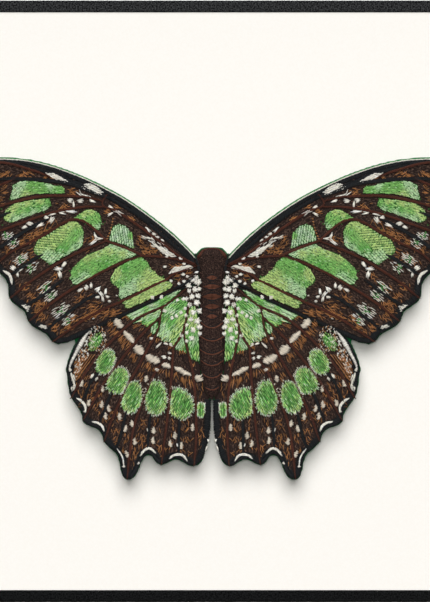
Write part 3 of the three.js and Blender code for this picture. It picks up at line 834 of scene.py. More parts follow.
sew_areas(HINDWING_GREENS, length=4.6, width=1.0, pitch=1.05, spread=0.2, accents=0.3, ribs=0.1,
          others=("pale", "mint", "yellow", "deep"))
print("green stitches on one side so far:", len(green.rows))

# %% [markdown]
# ## Eyespots
# A row of green ovals runs round the hindwing. Each has a leaf-green heart and a paler rim, in coarse
# stitches that all slant one way. Chance sets the shades of the rim, so that no two are alike. The cloth
# under a spot is smaller than the spot, so that its edge stays ragged.

# %% Eyespots of the hindwing
EYESPOTS = [
    ([(321.4, 337.4), (322.6, 334.4), (326, 332.6), (331, 334), (335, 338.6), (337.4, 344.8),
      (336.4, 349.8), (331.4, 351), (326, 347), (322.4, 342)], -55),
    ([(309.2, 358.3), (310.3, 353.3), (314.5, 350), (319.5, 350), (324.5, 353.3), (328.3, 360),
      (329, 366.7), (327, 372.5), (322, 374.2), (316.2, 372.5), (312, 367.5), (309.8, 362.5)], -52),
    ([(295.3, 375), (297, 370.8), (302.8, 367.5), (308.7, 369.2), (314.5, 375), (317.3, 381.7),
      (317.3, 388.3), (313.7, 392.5), (307.8, 393.3), (302, 392.5), (297.8, 386.7), (295.8, 380)], -55),
    ([(281.2, 395), (282, 387.5), (284.5, 382.5), (289.5, 381.2), (294.5, 384.2), (298.7, 390),
      (301.7, 398.3), (302, 405), (298.7, 410.8), (293.7, 413.3), (287, 410.8), (282.8, 405.8),
      (281.2, 400)], -55),
    ([(255.7, 400), (256.2, 393.3), (259.5, 385), (263.7, 380.8), (267.8, 380.3), (272.8, 384.2),
      (276.2, 390.8), (277.5, 398.3), (276.2, 406.7), (272, 413.3), (267.8, 414.7), (262, 413.3),
      (257, 408.3)], -60),
    ([(229.5, 404), (232, 396.7), (237, 390.8), (243.7, 388.3), (249.5, 389.2), (251.5, 395),
      (252, 403.3), (252.2, 411.7), (250, 414.5), (245.3, 417.5), (240.7, 419.6), (232.8, 415),
      (230, 410)], -65),
    ([(219.5, 404), (223, 402.3), (226, 404.5), (226.5, 410), (226, 415.5), (222.5, 416.8),
      (219.7, 414)], -80),
]
HEART_SHADES = [
    ((0, 0), "leaf"), ((3, -5), "green"), ((-2, 4), "green"), ((0, -8), "green"), ((2, 8), "green"),
]
RIM_STEP = 5.0
RIM_SHARE = 0.9
CLOTH_SHARE = 0.74
for outline, degrees in EYESPOTS:
    middle = np.mean(outline, axis=0)
    shades = [(*(middle + shift), thread, degrees) for shift, thread in HEART_SHADES]
    for place in spaced(smooth(closed(outline)), RIM_STEP)[0]:
        px, py = middle + RIM_SHARE * (place - middle)
        shades.append((px, py, rng.choice(["yellow", "green"], p=[0.3, 0.7]), degrees))
    oval = smooth(closed(outline), 1.5)[:-1]
    tatami(green, oval, shades, GREEN_LIFT, length=3.9, width=1.1, pitch=1.55, spread=0.26, accents=0.42,
           ribs=0.26, others=("deep", "deep", "yellow", "mint", "mint"))
    underlays.append(middle + CLOTH_SHARE * (oval - middle))
print("green stitches on one side:", len(green.rows))

# %% [markdown]
# ## The pale band of the hindwing
# Cream ovals make the pale band across the hindwing, cream drops lie near the margin, and a silvery
# crescent sits on it. All are raised a little, because they are sewn over the brown ground.

# %% Cream ovals, cream drops and the crescent
CRESCENT_OUTER = [
    (335.8, 330.2), (339.4, 333.6), (343.9, 338.6), (347.2, 343.6), (349.5, 348.4), (352.1, 354),
    (354.7, 359), (356.8, 364.6), (357.1, 367.2),
]
CRESCENT_INNER = [
    (335.2, 330.7), (337.7, 334.9), (340.1, 339.3), (342.7, 344.6), (345.5, 349), (348.6, 354),
    (351.3, 358.3), (354.7, 365.2), (356.1, 368),
]
# An oval is x, y, length, width and degrees. A drop is x and y.
CREAM_OVALS = [
    (306, 323.5, 12, 9, 58), (294.8, 337, 17, 7, 48), (284.3, 349.8, 12.5, 9.5, 50),
    (270.2, 359, 16.5, 9.5, 32), (256.5, 365.5, 10, 6.4, 20), (240.3, 371.2, 20, 5.8, 27),
    (225, 378.2, 8.5, 8.5, 40), (276.5, 378.5, 7, 4.8, 100),
]
CREAM_DOTS = [
    (230.5, 427), (247, 435), (251.5, 443), (240.5, 445), (268.5, 430), (269, 440), (288, 441),
    (290.5, 423), (297.5, 428), (304, 416), (295.5, 453.5), (315.5, 408), (322.5, 404), (318.5, 415.5),
    (322, 388), (343.5, 383), (336, 402.5),
]
CREAM_LIFT = 0.3
WHITE_LIFT = 0.32
DROP_LONG, DROP_WIDE, DROP_DEGREES = 7.6, 4.3, 95
pale = Plan()
crescent = smooth(CRESCENT_OUTER), smooth(CRESCENT_INNER)
satin(pale, *crescent, "silver", WHITE_LIFT, pitch=0.75, width=1.3, spread=0.16)
for x, y, long, wide, degrees in CREAM_OVALS:
    blob(pale, x, y, long, wide, degrees, "cream", CREAM_LIFT)
for x, y in CREAM_DOTS:
    degrees = DROP_DEGREES + rng.uniform(-15, 15)
    blob(pale, x, y, DROP_LONG, DROP_WIDE, degrees, "cream", CREAM_LIFT, pointed=0.5, drop=0.35)
print("cream and silver stitches on one side:", len(pale.rows))

# %% [markdown]
# ## Small white marks
# Small white marks are strewn over both wings: dabs, short strokes and petals of a few strands. A dab is
# a petal whose angle is left to chance.

# %% Dabs, strokes and petals
# A dab is x, y, length and width. A stroke is a line and its width.
SMALL_WHITE = [
    (265.5, 369.5, 4.5, 3.6), (271.5, 338.3, 4.5, 3.6), (253, 352.5, 4.5, 3), (253.5, 358.3, 4, 3),
    (258.5, 357, 4.5, 3.6), (257, 343.5, 4.5, 3), (252, 345, 4, 3), (283.5, 463, 2.8, 2.6),
    (298.5, 466, 3.2, 2.4), (257, 257, 4.5, 3), (259, 267, 4.5, 3), (252.5, 281, 3.5, 3),
    (240, 264, 4, 3), (240.5, 274.5, 4.5, 3), (236.5, 276.5, 3.5, 3), (227.5, 272.5, 4.5, 3),
    (244.5, 283.5, 4, 3), (315.5, 301.3, 3.6, 3), (340, 411, 3, 2.5), (355.8, 369.5, 3.6, 3.4),
    (332, 318.5, 3, 1.6), (308, 295.5, 2, 1.6),
]
WHITE_STROKES = [
    ([(353.8, 202.5), (353.2, 207)], 1.8),
    ([(417.6, 283), (418.6, 278), (421, 274.3), (425.5, 271.6)], 2.8),
    ([(339.3, 411), (339.8, 406), (343, 401.5), (347.5, 398.8)], 2.6),
    ([(320, 429.5), (322, 425.5), (326, 422.8), (331, 421.8)], 2.4),
    ([(298.8, 465), (299.6, 459), (302, 453.5), (305.5, 449)], 1.5),
    ([(266.5, 452), (270, 449), (274, 448), (278, 450.5), (281, 454.5)], 2.3),
    ([(235.5, 459.5), (238.5, 455.5), (243, 454), (248, 455), (251.5, 457.5)], 2.3),
    ([(262.5, 343.5), (266, 347)], 1.8),
    ([(337, 196.5), (345, 194.4), (347, 191.5)], 1),
    ([(346, 195.5), (350, 193)], 1),
    ([(449, 262), (452, 255)], 2),
    ([(455, 232), (458, 228.5)], 2),
]
# A petal is x, y, length, width and degrees.
PETALS = [
    (334, 201.2, 7.5, 3.2, 12), (346.3, 201.4, 6.5, 5.2, 0), (357, 200.6, 6.5, 4.6, 20),
    (356.5, 211.7, 10.5, 3, -2), (365.2, 213.3, 7.5, 2.9, -3), (375, 214.6, 9.5, 1.9, -10),
    (376.7, 220.6, 8.5, 3.8, -62), (381.3, 217.8, 6, 4, 20), (388.3, 225.2, 9, 3.4, -28),
    (398.5, 224, 7.5, 4.6, 12), (404.5, 227.4, 6.5, 2.4, -22), (325.8, 239, 8, 3.2, 5),
    (330.6, 236.4, 7.5, 3.2, 62), (333.2, 242.2, 9, 3.2, -32), (315, 214.3, 7, 3.2, -22),
    (307, 212.4, 10, 2.8, 32), (314.6, 207.6, 6, 3.2, 34), (363.3, 264.5, 8.5, 4.2, -50),
    (370, 268.9, 7.5, 4.4, 14), (367.8, 275, 9, 3.8, 85), (416.2, 268, 6.2, 5, 40),
    (409, 270.4, 7, 2.4, -30), (411.8, 274.8, 5.2, 3.8, 75), (346, 290, 6, 4.2, -10),
    (335, 285.7, 5.5, 3.8, 75), (339.5, 287.9, 5.4, 4.8, 60), (319.8, 291.8, 7, 3.4, 118),
    (324.5, 293.8, 8, 4, 52), (328, 289.3, 6.2, 4.4, -35), (327.8, 297.3, 5.4, 3, -2),
    (322.3, 299.2, 6, 3.2, 85), (317.8, 296.8, 5, 3, 30), (243, 258.5, 5, 2.6, 20),
    (270, 234.2, 4.4, 2.6, 30), (266.2, 237.2, 4.2, 2, 30), (261.3, 240.6, 4.2, 1.8, 30),
    (275.6, 229.8, 8.5, 3, 37), (274.3, 430.3, 5.5, 1.8, 80), (244.4, 445, 4, 1.6, 85),
    (328, 378.5, 5.5, 1.9, -58), (333.2, 376, 6, 3.2, -52), (215.6, 440.3, 3.8, 2.4, 70),
    (217.4, 447.5, 6, 1.8, -70),
]
for x, y, long, wide in SMALL_WHITE:
    petal(pale, x, y, long, wide, rng.uniform(-20, 40), "white", WHITE_LIFT)
for line, width in WHITE_STROKES:
    stem(pale, line, width, "white", WHITE_LIFT, length=3.6, strand=1.15, spread=0.14)
for x, y, long, wide, degrees in PETALS:
    petal(pale, x, y, long, wide, degrees, "white", WHITE_LIFT)
print("with the small white marks:", len(pale.rows))

# %% [markdown]
# ## White areas
# The larger white streaks have edges of their own, so they are filled like the green areas, in one shade
# and with almost no painted shade on every other row. Two streaks have no edge: their strands are brushed
# along a line.

# %% Filled and feathered white
# An area is an outline and degrees. A feathered streak is a line, its width and the number of strands.
WHITE_PATCHES = [
    ([(323, 192), (329, 187), (334, 184.5), (341, 184), (342, 185), (338, 187.2), (347, 186),
      (346.5, 187.6), (340, 190.6), (332, 193.2), (326, 195.8), (324, 194)], 24),
    ([(359, 182), (365, 178), (370, 175.2), (375, 173.8), (381.5, 173), (382, 174.2), (378, 177.5),
      (371, 180.2), (364, 182.7), (359.5, 183.2)], 24),
    ([(246.5, 256.6), (252, 253.3), (257, 250.2), (262, 247.4), (267, 245), (268.5, 247), (264, 251),
      (259, 255), (252.5, 257.4)], 28),
    ([(230, 267.5), (235, 265), (241, 266.5), (247, 266), (251, 268), (254.5, 271.5), (254.8, 274),
      (250, 273), (244, 271.5), (239, 269.5), (234, 269)], -14),
    ([(398.3, 306.2), (402, 304.6), (406.5, 304.3), (407, 305.8), (403.5, 308.6), (401.5, 309.5),
      (400.8, 312), (399, 310)], 20),
    ([(380.5, 326.5), (384, 324.6), (387, 324.4), (388.5, 326.3), (385.5, 328), (383.2, 328.5),
      (382.5, 330.5), (380.8, 328.5)], 15),
    ([(354.8, 371.8), (355.8, 373.6), (355.6, 377), (354.4, 380.5), (352.8, 383.6), (352.4, 385.4),
      (354, 386.2), (354.9, 388), (353.6, 390.2), (351, 389.4), (350.4, 387), (350, 383.5), (350.4, 380),
      (351.4, 376.6), (353.2, 373.6)], -75),
]
FEATHERED = [
    ([(264, 248), (271, 246.3)], 1.6, 6),
    ([(256, 252), (264, 246.5), (272, 241), (280.5, 236.5)], 4.4, 26),
]
for outline, degrees in WHITE_PATCHES:
    shade = (*np.mean(outline, axis=0), "white", degrees)
    tatami(pale, outline, [shade], 0.26, length=4.2, width=1.2, pitch=0.8, spread=0.1, accents=0, ribs=0.05)
for line, width, count in FEATHERED:
    brush(pale, line, width, "white", CREAM_LIFT, count)
print("with the white areas:", len(pale.rows))

# %% [markdown]
# ## Knots and tufts
# White knots crowd beside the body like fur. On the outer forewing, feathery white tufts have a green
# heart. Their strands lie in lanes, so they have a function of their own.

# %% Knots and tufts
# A knot is x, y and radius. A tuft is x, y, degrees, length and half its width.
KNOTS = [
    (226.5, 282, 4), (232, 280, 3), (229, 289.5, 3.2), (235, 285.5, 3), (225.5, 296, 3),
    (231.5, 297, 3.2), (227, 302.5, 3.5), (234, 305, 2.6), (224.5, 311, 3), (230.5, 312.5, 3),
    (226.5, 321, 3.5), (232.5, 319.5, 2.6), (224.5, 327, 3), (230.5, 330, 3), (224.3, 333.5, 2.4),
    (231.5, 338, 2.6), (236.5, 325, 1.9), (237, 315.5, 1.9), (238, 308.5, 1.9), (236, 332.5, 1.9),
    (241.5, 335.5, 1.9), (236.5, 341, 1.8), (242, 312.5, 1.8), (246.5, 316, 1.9), (251, 318, 1.7),
    (258.5, 311, 1.8), (262, 297, 1.9), (271, 297.5, 2), (240, 299, 2), (237, 299, 2.2),
    (228, 277.5, 2.4), (234.5, 291, 2.2), (224.8, 289, 2.4), (239.5, 281.5, 1.8), (246, 300, 1.8),
]
TUFTS = [
    (422.5, 236.5, -34, 13, 3.2), (416, 243.5, -36, 11.5, 3.2), (408, 259, -33, 15, 3.4),
    (397.8, 267.8, -36, 12.5, 3.6), (382.5, 287.3, -34, 17, 3.6), (376.3, 295.5, -38, 14, 3.6),
    (366.3, 310.8, -34, 19, 4.4), (358.5, 319.8, -35, 14.5, 3.3),
]
KNOT_FULLNESS = 1.08
TUFT_LANES = 1.2
TUFT_GAPS = 0.12
HEART_STRANDS = 9


def tuft(plan, x, y, degrees, long, wide):
    """White strands in lanes, three to a lane and some left out, with deep green ones in the middle."""
    way, side = turned(degrees)
    for lane in np.linspace(-1, 1, 1 + int(round(wide * TUFT_LANES))):
        full = long * (1 - 0.35 * lane * lane)
        for start in (-0.36, 0.0, 0.36):
            if rng.random() < TUFT_GAPS:
                continue
            shift = side * (lane * wide + rng.normal(0, 0.35)) + way * (full * start + rng.normal(0, 1.0))
            px, py = (x, y) + shift
            angle = math.radians(degrees) + rng.normal(0, 0.13)
            strand, width = full * rng.uniform(0.32, 0.5), rng.uniform(0.8, 1.25)
            plan.add(px, py, angle, strand, width, rng.uniform(0.3, 0.42), "white", 0.12)
    for _ in range(HEART_STRANDS):
        px, py = (x, y) + side * rng.normal(0, wide * 0.5) + way * rng.normal(0, long * 0.12)
        plan.add(px, py, math.radians(degrees) + rng.normal(0, 0.4), 3.0, 1.3, 0.4, "deep", 0.2)


for x, y, radius in KNOTS:
    knot(pale, x, y, radius * KNOT_FULLNESS)
for mark in TUFTS:
    tuft(pale, *mark)
print("with the knots and tufts:", len(pale.rows))

# %% [markdown]
# ## Rims of the eyespots
# Short dashes stand round every eyespot but the first: pale green just inside the oval, white just
# outside, and cream dots further out on its upper side. They point outwards but lean towards the spot's
# own slant.

# %% Dashes round the eyespots
DASH_STEP = 1.6
DASH_WIDTH = 1.0


def rim(plan, outline, degrees):
    """Dashes round an eyespot. The white ones are fewer on its outer side."""
    middle, slant = np.mean(outline, axis=0), math.radians(degrees)
    for place in spaced(smooth(closed(outline)), DASH_STEP)[0]:
        out = place - middle
        spoke = heading(out)
        angle = spoke + 0.4 * math.sin(2 * (slant - spoke)) + rng.normal(0, 0.2)
        often = 0.8 if out[0] < 0.5 * abs(out[1]) else 0.5
        if rng.random() < often:
            x, y = middle + out * rng.uniform(1.01, 1.08)
            long = rng.uniform(1.8, 2.9)
            plan.add(x, y, angle, long, DASH_WIDTH, 0.36, rng.choice(["white", "pale"]), 0.14)
        x, y = middle + out * rng.uniform(0.84, 0.95)
        long = rng.uniform(2.4, 3.6)
        plan.add(x, y, angle, long, DASH_WIDTH, 0.26, rng.choice(["yellow", "green", "mint"]), 0.18)
        if out[1] < 0.2 * out[0] and rng.random() < 0.42:
            x, y = middle + out * rng.uniform(1.12, 1.22)
            plan.add(x, y, angle, 1.7, 1.2, 0.3, "cream", 0.14)


for outline, degrees in EYESPOTS[1:]:
    rim(pale, outline, degrees)
print("with the rims:", len(pale.rows))

# %% [markdown]
# ## The first eyespot
# The eyespot next to the forewing has no rim. Short stitches in several colours are sprinkled on it,
# denser outwards, caramel lines lie below it, and more speckle lies towards the margin. Points are strewn
# over the whole field, and where each lies decides what it becomes.

# %% Hatch and speckle
MARGIN_SPECKLE = [
    (334, 334), (337, 335), (342, 343), (347, 353), (351, 362), (351.5, 372), (349.5, 378), (346, 371),
    (341, 361), (334, 353), (337, 347),
]
SPECKLE_FIELD = (315, 322), (356, 381)
SPECKLES = 1500
SPOT_SHIFT = (1.6, 2.4)
SPOT_REACH = (9.6, 13)
HATCH_LINES = 5
for k in range(HATCH_LINES):
    hatch = [(331.5 + 2.8 * k, 355.7 + 0.2 * k), (348.6 + 0.2 * k, 379 - 3.5 * k)]
    stem(pale, hatch, 0.6, "caramel", 0.28, length=4.6, slant=0.06, strand=0.8, taper=False, spread=0.3)
spot_middle = np.mean(EYESPOTS[0][0], axis=0) - SPOT_SHIFT
for x, y in rng.uniform(*SPECKLE_FIELD, (SPECKLES, 2)):
    out = np.linalg.norm(([x, y] - spot_middle) / SPOT_REACH)
    if out < 1.0:
        if rng.random() < 0.16 + 0.44 * out**2:
            threads = ["white", "cream", "caramel"] if out > 0.5 else ["white", "mint", "yellow"]
            thread = rng.choice(threads, p=[0.5, 0.2, 0.3])
            pale.add(x, y, 1.0 + rng.normal(0, 0.35), rng.uniform(1.6, 2.4), 0.9, 0.36, thread, 0.12)
    elif inside(MARGIN_SPECKLE, [(x, y)])[0] and rng.random() < 0.5:
        thread = rng.choice(["white", "caramel"], p=[0.65, 0.35])
        pale.add(x, y, -1.0 + rng.normal(0, 0.3), rng.uniform(1.7, 2.6), 0.95, 0.34, thread, 0.15)
print("white and cream stitches on one side:", len(pale.rows))

# %% [markdown]
# ## Vein cords
# The veins are corded: two strands of red-brown in stem stitch over the raised ridges of the wing panels.
# A bevelled curve would be too smooth, but stitches break the light as the other thread does. A few
# caramel dashes close one cell.

# %% Vein cords
CORD_WIDTH = 1.9
CORD_LIFT = 0.3
CELL_END = [(312.5, 219), (313.8, 226), (316, 233), (318.6, 239)]
cords = Plan()
for lines, thread in ((FOREWING_VEINS, "vein"), (HINDWING_VEINS, "dark vein")):
    for line in lines:
        stem(cords, line, CORD_WIDTH, thread, CORD_LIFT, length=4.6, slant=0.25, strand=0.95, spread=0.14)
for place, way in zip(*spaced(smooth(CELL_END), 3.2)):
    cords.add(*place, heading(way) + 0.5, 2.0, 1.5, 0.2, "caramel", 0.2)
print("cord stitches on one side:", len(cords.rows))

# %% [markdown]
# ## Where the flecks lie
# Loose caramel strands lie on the brown ground in flecks, mostly along the veins. A fleck is a place with
# half its width and half its height, the number of its strands, and how wildly they stray from the grain.

# %% Places of the flecks
FLECKS = [
    (354.5, 190.5, 3, 2, 6, 0.3), (355, 194, 3, 2, 6, 0.3), (364.5, 206, 5, 4, 16, 0.5),
    (402, 174, 5, 3, 14, 0.3), (409, 176, 5, 2, 10, 0.3), (423, 174, 6, 3, 16, 0.4),
    (431, 176, 5, 2, 12, 0.4), (383, 178.5, 4, 1.5, 7, 0.3), (425, 192, 1.5, 5, 8, 0.3),
    (428, 200, 2, 4, 8, 0.3), (379.5, 222, 4, 5, 12, 0.8), (385, 230, 4, 2.5, 14, 0.4),
    (392, 233.5, 5, 2.5, 16, 0.4), (401, 238, 6, 3, 20, 0.5), (406, 244, 5, 3, 14, 0.5),
    (421, 250, 6, 3, 18, 0.5), (401, 254, 5, 4, 14, 0.6), (412, 263, 5, 4, 12, 0.8),
    (333, 240, 5, 3, 12, 0.5), (340, 250, 3, 2, 6, 0.4), (294, 218.5, 5, 1.6, 9, 0.2),
    (290, 222.5, 2, 1, 3, 0.2), (283, 240, 2.5, 5, 12, 0.5), (279, 249, 5, 3.5, 20, 0.5),
    (270, 252, 7, 2.5, 18, 0.4), (244, 266, 8, 2, 14, 0.3), (309, 207.5, 4, 1.2, 6, 0.2),
    (318.5, 212, 3, 4, 10, 0.6), (246, 277, 1.5, 3, 6, 0.5), (236, 273, 3, 2, 5, 0.5),
    (311, 313, 6, 2, 16, 0.3), (322, 312, 9, 4, 34, 0.4), (334, 306, 6, 4, 18, 0.4),
    (338, 317, 8, 3, 22, 0.4), (347, 300, 3, 4, 12, 0.5), (352, 319, 6, 3, 14, 0.5),
    (386, 305, 5, 5, 18, 0.5), (391, 311, 4, 7, 20, 0.5), (384, 316, 4, 3, 12, 0.5),
    (373, 327, 4, 4, 16, 0.5), (360, 327, 6, 3, 16, 0.4), (365, 333, 3, 2, 6, 0.4),
    (388, 290, 5, 4, 12, 0.5), (397, 297, 4, 4, 12, 0.5), (371, 276, 3, 6, 10, 0.6),
    (398, 262, 4, 5, 10, 0.6), (404, 287, 4, 4, 10, 0.6), (340, 294, 6, 3, 10, 0.5),
    (298, 318, 3, 2, 10, 0.3), (286, 325, 5, 2.5, 14, 0.3), (278, 329, 4, 2.5, 9, 0.3),
    (272, 335, 2, 2, 6, 0.3), (262, 340, 6, 2, 12, 0.3), (252, 347, 4, 2, 6, 0.3),
    (243, 352, 7, 1.6, 14, 0.3), (228, 363, 4, 2, 8, 0.3), (300, 341, 7, 5, 22, 0.2),
    (305, 334, 5, 2.5, 10, 0.2), (313, 326, 2.5, 6, 10, 0.2), (310, 334, 3, 5, 10, 0.2),
    (347, 368, 4, 9, 30, 0.3), (340, 380, 4, 8, 16, 0.5), (332, 391, 4, 7, 14, 0.5),
    (325, 398, 4, 7, 14, 0.5), (350, 380, 3, 8, 12, 0.4), (344, 393, 3, 8, 12, 0.5),
    (327, 411, 5, 7, 14, 0.6), (313, 406, 3, 8, 10, 0.5), (317, 419, 3, 4, 6, 0.5),
    (308, 431, 4, 9, 16, 0.5), (307, 415, 4, 7, 12, 0.5), (296, 437, 3, 9, 14, 0.5),
    (300, 449, 3, 4, 6, 0.5), (281, 441, 5, 9, 28, 0.7), (280, 425, 4, 6, 14, 0.7),
    (288, 455, 3, 8, 14, 0.3), (263, 445, 4, 6, 18, 0.6), (265, 425, 3, 5, 7, 0.5),
    (249, 428, 4, 6, 12, 0.6), (250, 448, 4, 4, 9, 0.6), (235, 439, 5, 10, 26, 0.7),
    (222, 436, 3, 10, 14, 0.6), (236, 424, 4, 4, 8, 0.8), (221, 390, 3, 6, 8, 0.4),
    (236, 381, 5, 2.5, 10, 0.3), (246, 377, 2, 5, 8, 0.3), (445, 210, 8, 6, 12, 0.5),
    (440, 240, 7, 6, 14, 0.5), (458, 205, 6, 5, 10, 0.5), (448, 178, 9, 4, 14, 0.4),
]
print("fleck places:", len(FLECKS))

# %% [markdown]
# ## The brown ground
# The ground fills what the patches leave free: short seed stitches in three browns, so close that the
# cloth looks pebbled. A bump map would look flat from the side, so every seed is a real stitch. One falls
# in each small square, at a place left to chance, which spreads them evenly without rows.

# %% Ground and flecks
SEED_SPACING = 1.8
SEED_WIDTH = 1.4
CLEAR_OF_EDGE = 4.2
FLECK_WIDTH = 0.66
FLECK_SHARE = {"forewing": 1.1, "hindwing": 0.78}
ground, flecks = Plan(), Plan()


def sew_ground(wing, outline):
    """Seed stitches wherever the border and the green patches leave a wing free."""
    low, high = outline.min(axis=0), outline.max(axis=0)
    columns, lines = (np.arange(a, b, SEED_SPACING) for a, b in zip(low, high))
    squares = np.stack(np.meshgrid(columns, lines), -1).reshape(-1, 2)
    spots = squares + rng.uniform(0.1, 0.9, squares.shape) * SEED_SPACING
    spots = spots[inside(outline, spots)]
    spots = spots[distance_to(outline, spots) > CLEAR_OF_EDGE]
    for patch in underlays:
        spots = spots[~inside(patch, spots)]
    for (x, y), angle in zip(spots, grain(wing, spots)):
        thread = rng.choice(["ground", "ground dark", "ground pale"], p=[0.54, 0.24, 0.22])
        turn = angle + rng.normal(0, 0.35)
        ground.add(x, y, turn, rng.uniform(2.4, 3.4), SEED_WIDTH, rng.uniform(-0.06, 0.06), thread, 0.18)


def sew_flecks(wing, outline):
    """Caramel strands round every fleck place, as far as they lie on a wing."""
    for x, y, half_x, half_y, count, wild in FLECKS:
        count = int(count * FLECK_SHARE[wing])
        strands = np.array([x, y]) + rng.normal(0, 0.7, (count, 2)) * (half_x, half_y)
        strands = strands[inside(outline, strands)]
        for (px, py), angle in zip(strands, grain(wing, strands)):
            turn = angle + rng.normal(0, wild)
            flecks.add(px, py, turn, rng.uniform(3, 6), FLECK_WIDTH, rng.uniform(0.14, 0.22), "caramel", 0.22)


for wing, outline in (("forewing", forewing_outline), ("hindwing", hindwing_outline)):
    sew_ground(wing, outline)
    sew_flecks(wing, outline)
print("ground stitches so far:", len(ground.rows), "flecks:", len(flecks.rows))

# %% [markdown]
# ## Fringes and specks
# The last loose strands fringe what is already sewn. Caramel strands hang below the cream ovals, deep
# green specks stray over the edges of the forewing's patches, and a dark line beside the body is painted
# shade where the body meets the wings.

# %% Fringes, specks and the line beside the body
SPECKS_A_PATCH = 9
for x, y, long, wide, degrees in CREAM_OVALS:
    way, side = turned(degrees)
    for s in rng.uniform(-0.6, 0.6, int(long * 0.8)):
        px, py = np.array([x, y]) + way * s * long + side * (wide / 2 + rng.uniform(2, 6))
        angle = grain("hindwing", [(px, py)])[0] + rng.normal(0, 0.07)
        flecks.add(px, py, angle, rng.uniform(4, 8), 0.65, 0.16, "caramel", 0.24)
for outline, _ in [*OUTER_GREENS.values(), *INNER_GREENS.values()]:
    for place in rng.permutation(spaced(smooth(closed(outline)), 1.0)[0])[:SPECKS_A_PATCH]:
        px, py = place + rng.normal(0, 2.2, 2)
        flecks.add(px, py, rng.uniform(-1, 1), 1.8, 0.9, 0.15, "deep", 0.3)
# painted shade: a dark line along the body's edge, where the body meets the wings
stem(ground, beside_body(262, 396) - (0.6, 0), 1.5, "ground dark", 0.06, length=4.0, taper=False)
print("ground stitches on one side:", len(ground.rows), "flecks:", len(flecks.rows))

# %% [markdown]
# ## The body's thread
# The padded body is covered in short brown stitches that lie roughly across it, close enough to hide the
# pad. They are planned on the flat drawing, like the wings, and bent over the body when they are laid.

# %% Body cover
BODY_ROW = 1.4
BODY_STEP = 1.9
body_plan = Plan()
for y in np.arange(248.4, 397.5, BODY_ROW):
    half = body_half_width(y)
    for x in np.arange(-half + 0.9, half - 0.7, BODY_STEP):
        px, py = AXIS + x + rng.uniform(-0.6, 0.6), y + rng.uniform(-0.5, 0.5)
        thread = rng.choice(["body", "ground dark", "ground pale"], p=[0.78, 0.15, 0.07])
        body_plan.add(px, py, rng.normal(0, 0.8), 2.3, 1.35, rng.uniform(-0.05, 0.06), thread, 0.12)
print("body stitches:", len(body_plan.rows))

# %% [markdown]
# ## Lenses on the thorax
# Rust-coloured lens shapes with a black rim mark the thorax, one below the other. A lens is a few satin
# lanes that get shorter away from its middle, and its rim is two bowed lines of stem stitch.

# %% Lenses
# A lens is the height of its middle on the drawing, half its width and half its height.
LENSES = [
    (277.7, 5.6, 2.6), (286.7, 8.3, 2.9), (296.7, 9.6, 3.6), (306.5, 7.5, 3.2), (316.5, 5.6, 2.7),
]
LENS_LANES = 7
body_marks = Plan()
for y, half, tall in LENSES:
    for lane in np.linspace(-0.95, 0.95, LENS_LANES):
        reach = half * 2 * (1 - 0.98 * abs(lane)) ** 0.6
        thread = "ground dark" if abs(lane) > 0.9 else "rust"
        for part in (-0.25, 0.25):
            px, py = AXIS + part * reach, y + lane * tall
            body_marks.add(px, py, rng.normal(0, 0.03), reach * 0.62, 1.2, 0.18, thread, 0.16)
    for side in (-1, 1):
        bow = [(-1, 0), (-0.5, 0.72), (0, 1.1), (0.5, 0.72), (1, 0)]
        line = [(AXIS + half * across, y + side * tall * up) for across, up in bow]
        stem(body_marks, line, 0.9, "black", 0.16, length=3.4, strand=0.9)
print("lens stitches:", len(body_marks.rows))

# %% [markdown]
# ## Arcs, head and tail
# Sagging arcs mark the rings of the abdomen: a rust line with a black one just above it as painted
# shadow. The head has a red-brown line round it, and a few dark stitches close the tip of the tail.

# %% Arcs, head and tail
# An arc is the height of its lowest point on the drawing, half its width and its rise.
ARCS = [
    (327.8, 10, 5.2), (340.8, 11, 4.8), (354.2, 11, 4.8), (365.3, 10, 4.8), (377.5, 8.4, 4),
    (389.5, 6, 2.6),
]
HEAD_LINE = [
    (198.2, 257), (200.5, 253.4), (203.5, 250.8), (208, 249.4), (212, 249), (216, 249.4), (220.5, 250.8),
    (223.5, 253.4), (225.8, 257),
]
PAINTED_SHADOW_ABOVE = 1.1
for y, half, rise in ARCS:
    x = np.linspace(-half, half, 15)
    arc = np.c_[AXIS + x, y - rise * (x / half) ** 2]
    # the black line just above each arc is painted shadow
    stem(body_marks, arc - (0, PAINTED_SHADOW_ABOVE), 1.0, "black", 0.14, length=3.6, strand=1)
    stem(body_marks, arc, 1.2, "rust", 0.2, length=3.6, strand=1.1)
for side in (-1, 1):
    stem(body_marks, [(AXIS + side * 9, 251), (AXIS + side * 12.4, 256.5)], 2.0, "vein", 0.14, length=4)
stem(body_marks, HEAD_LINE, 1.1, "vein", 0.14, length=3.6, strand=1)
for x in np.arange(-3.2, 3.3, 0.9):
    body_marks.add(AXIS + x, 398.4 - 0.1 * x * x, math.pi / 2, 3.4, 1.3, 0.0, "ground dark", 0.1)
print("marks on the body:", len(body_marks.rows))

# %% [markdown]
# ## One stitch
# A stitch is a short, closed strip of thread, thick in the middle and dipping into the cloth at both
# ends. A bevelled curve would have too many faces, because there are tens of thousands of stitches, so
# its section is a triangle. A strand has a level middle, and a seed is a single small hump.

# %% A strand and a seed
SECTION = [(-0.5, -0.2), (0.0, 1.0), (0.5, -0.2)]
# A ring of a stitch is its place along it, its width and its height.
STRAND_RINGS = [(-0.5, 0.45, -0.1), (-0.24, 1.0, 1.0), (0.24, 1.0, 1.0), (0.5, 0.45, -0.1)]
SEED_RINGS = [(-0.5, 0.5, -0.1), (0.0, 1.0, 1.0), (0.5, 0.5, -0.1)]


def add_object(name, data):
    """A new object in the scene."""
    made = bpy.data.objects.new(name, data)
    bpy.context.collection.objects.link(made)
    return made


def mesh_object(name, verts, faces):
    """A mesh object in the scene, shaded smooth."""
    mesh = bpy.data.meshes.new(name)
    mesh.from_pydata([tuple(v) for v in verts], [], [tuple(f) for f in faces])
    mesh.update()
    mesh.shade_smooth()
    return add_object(name, mesh)


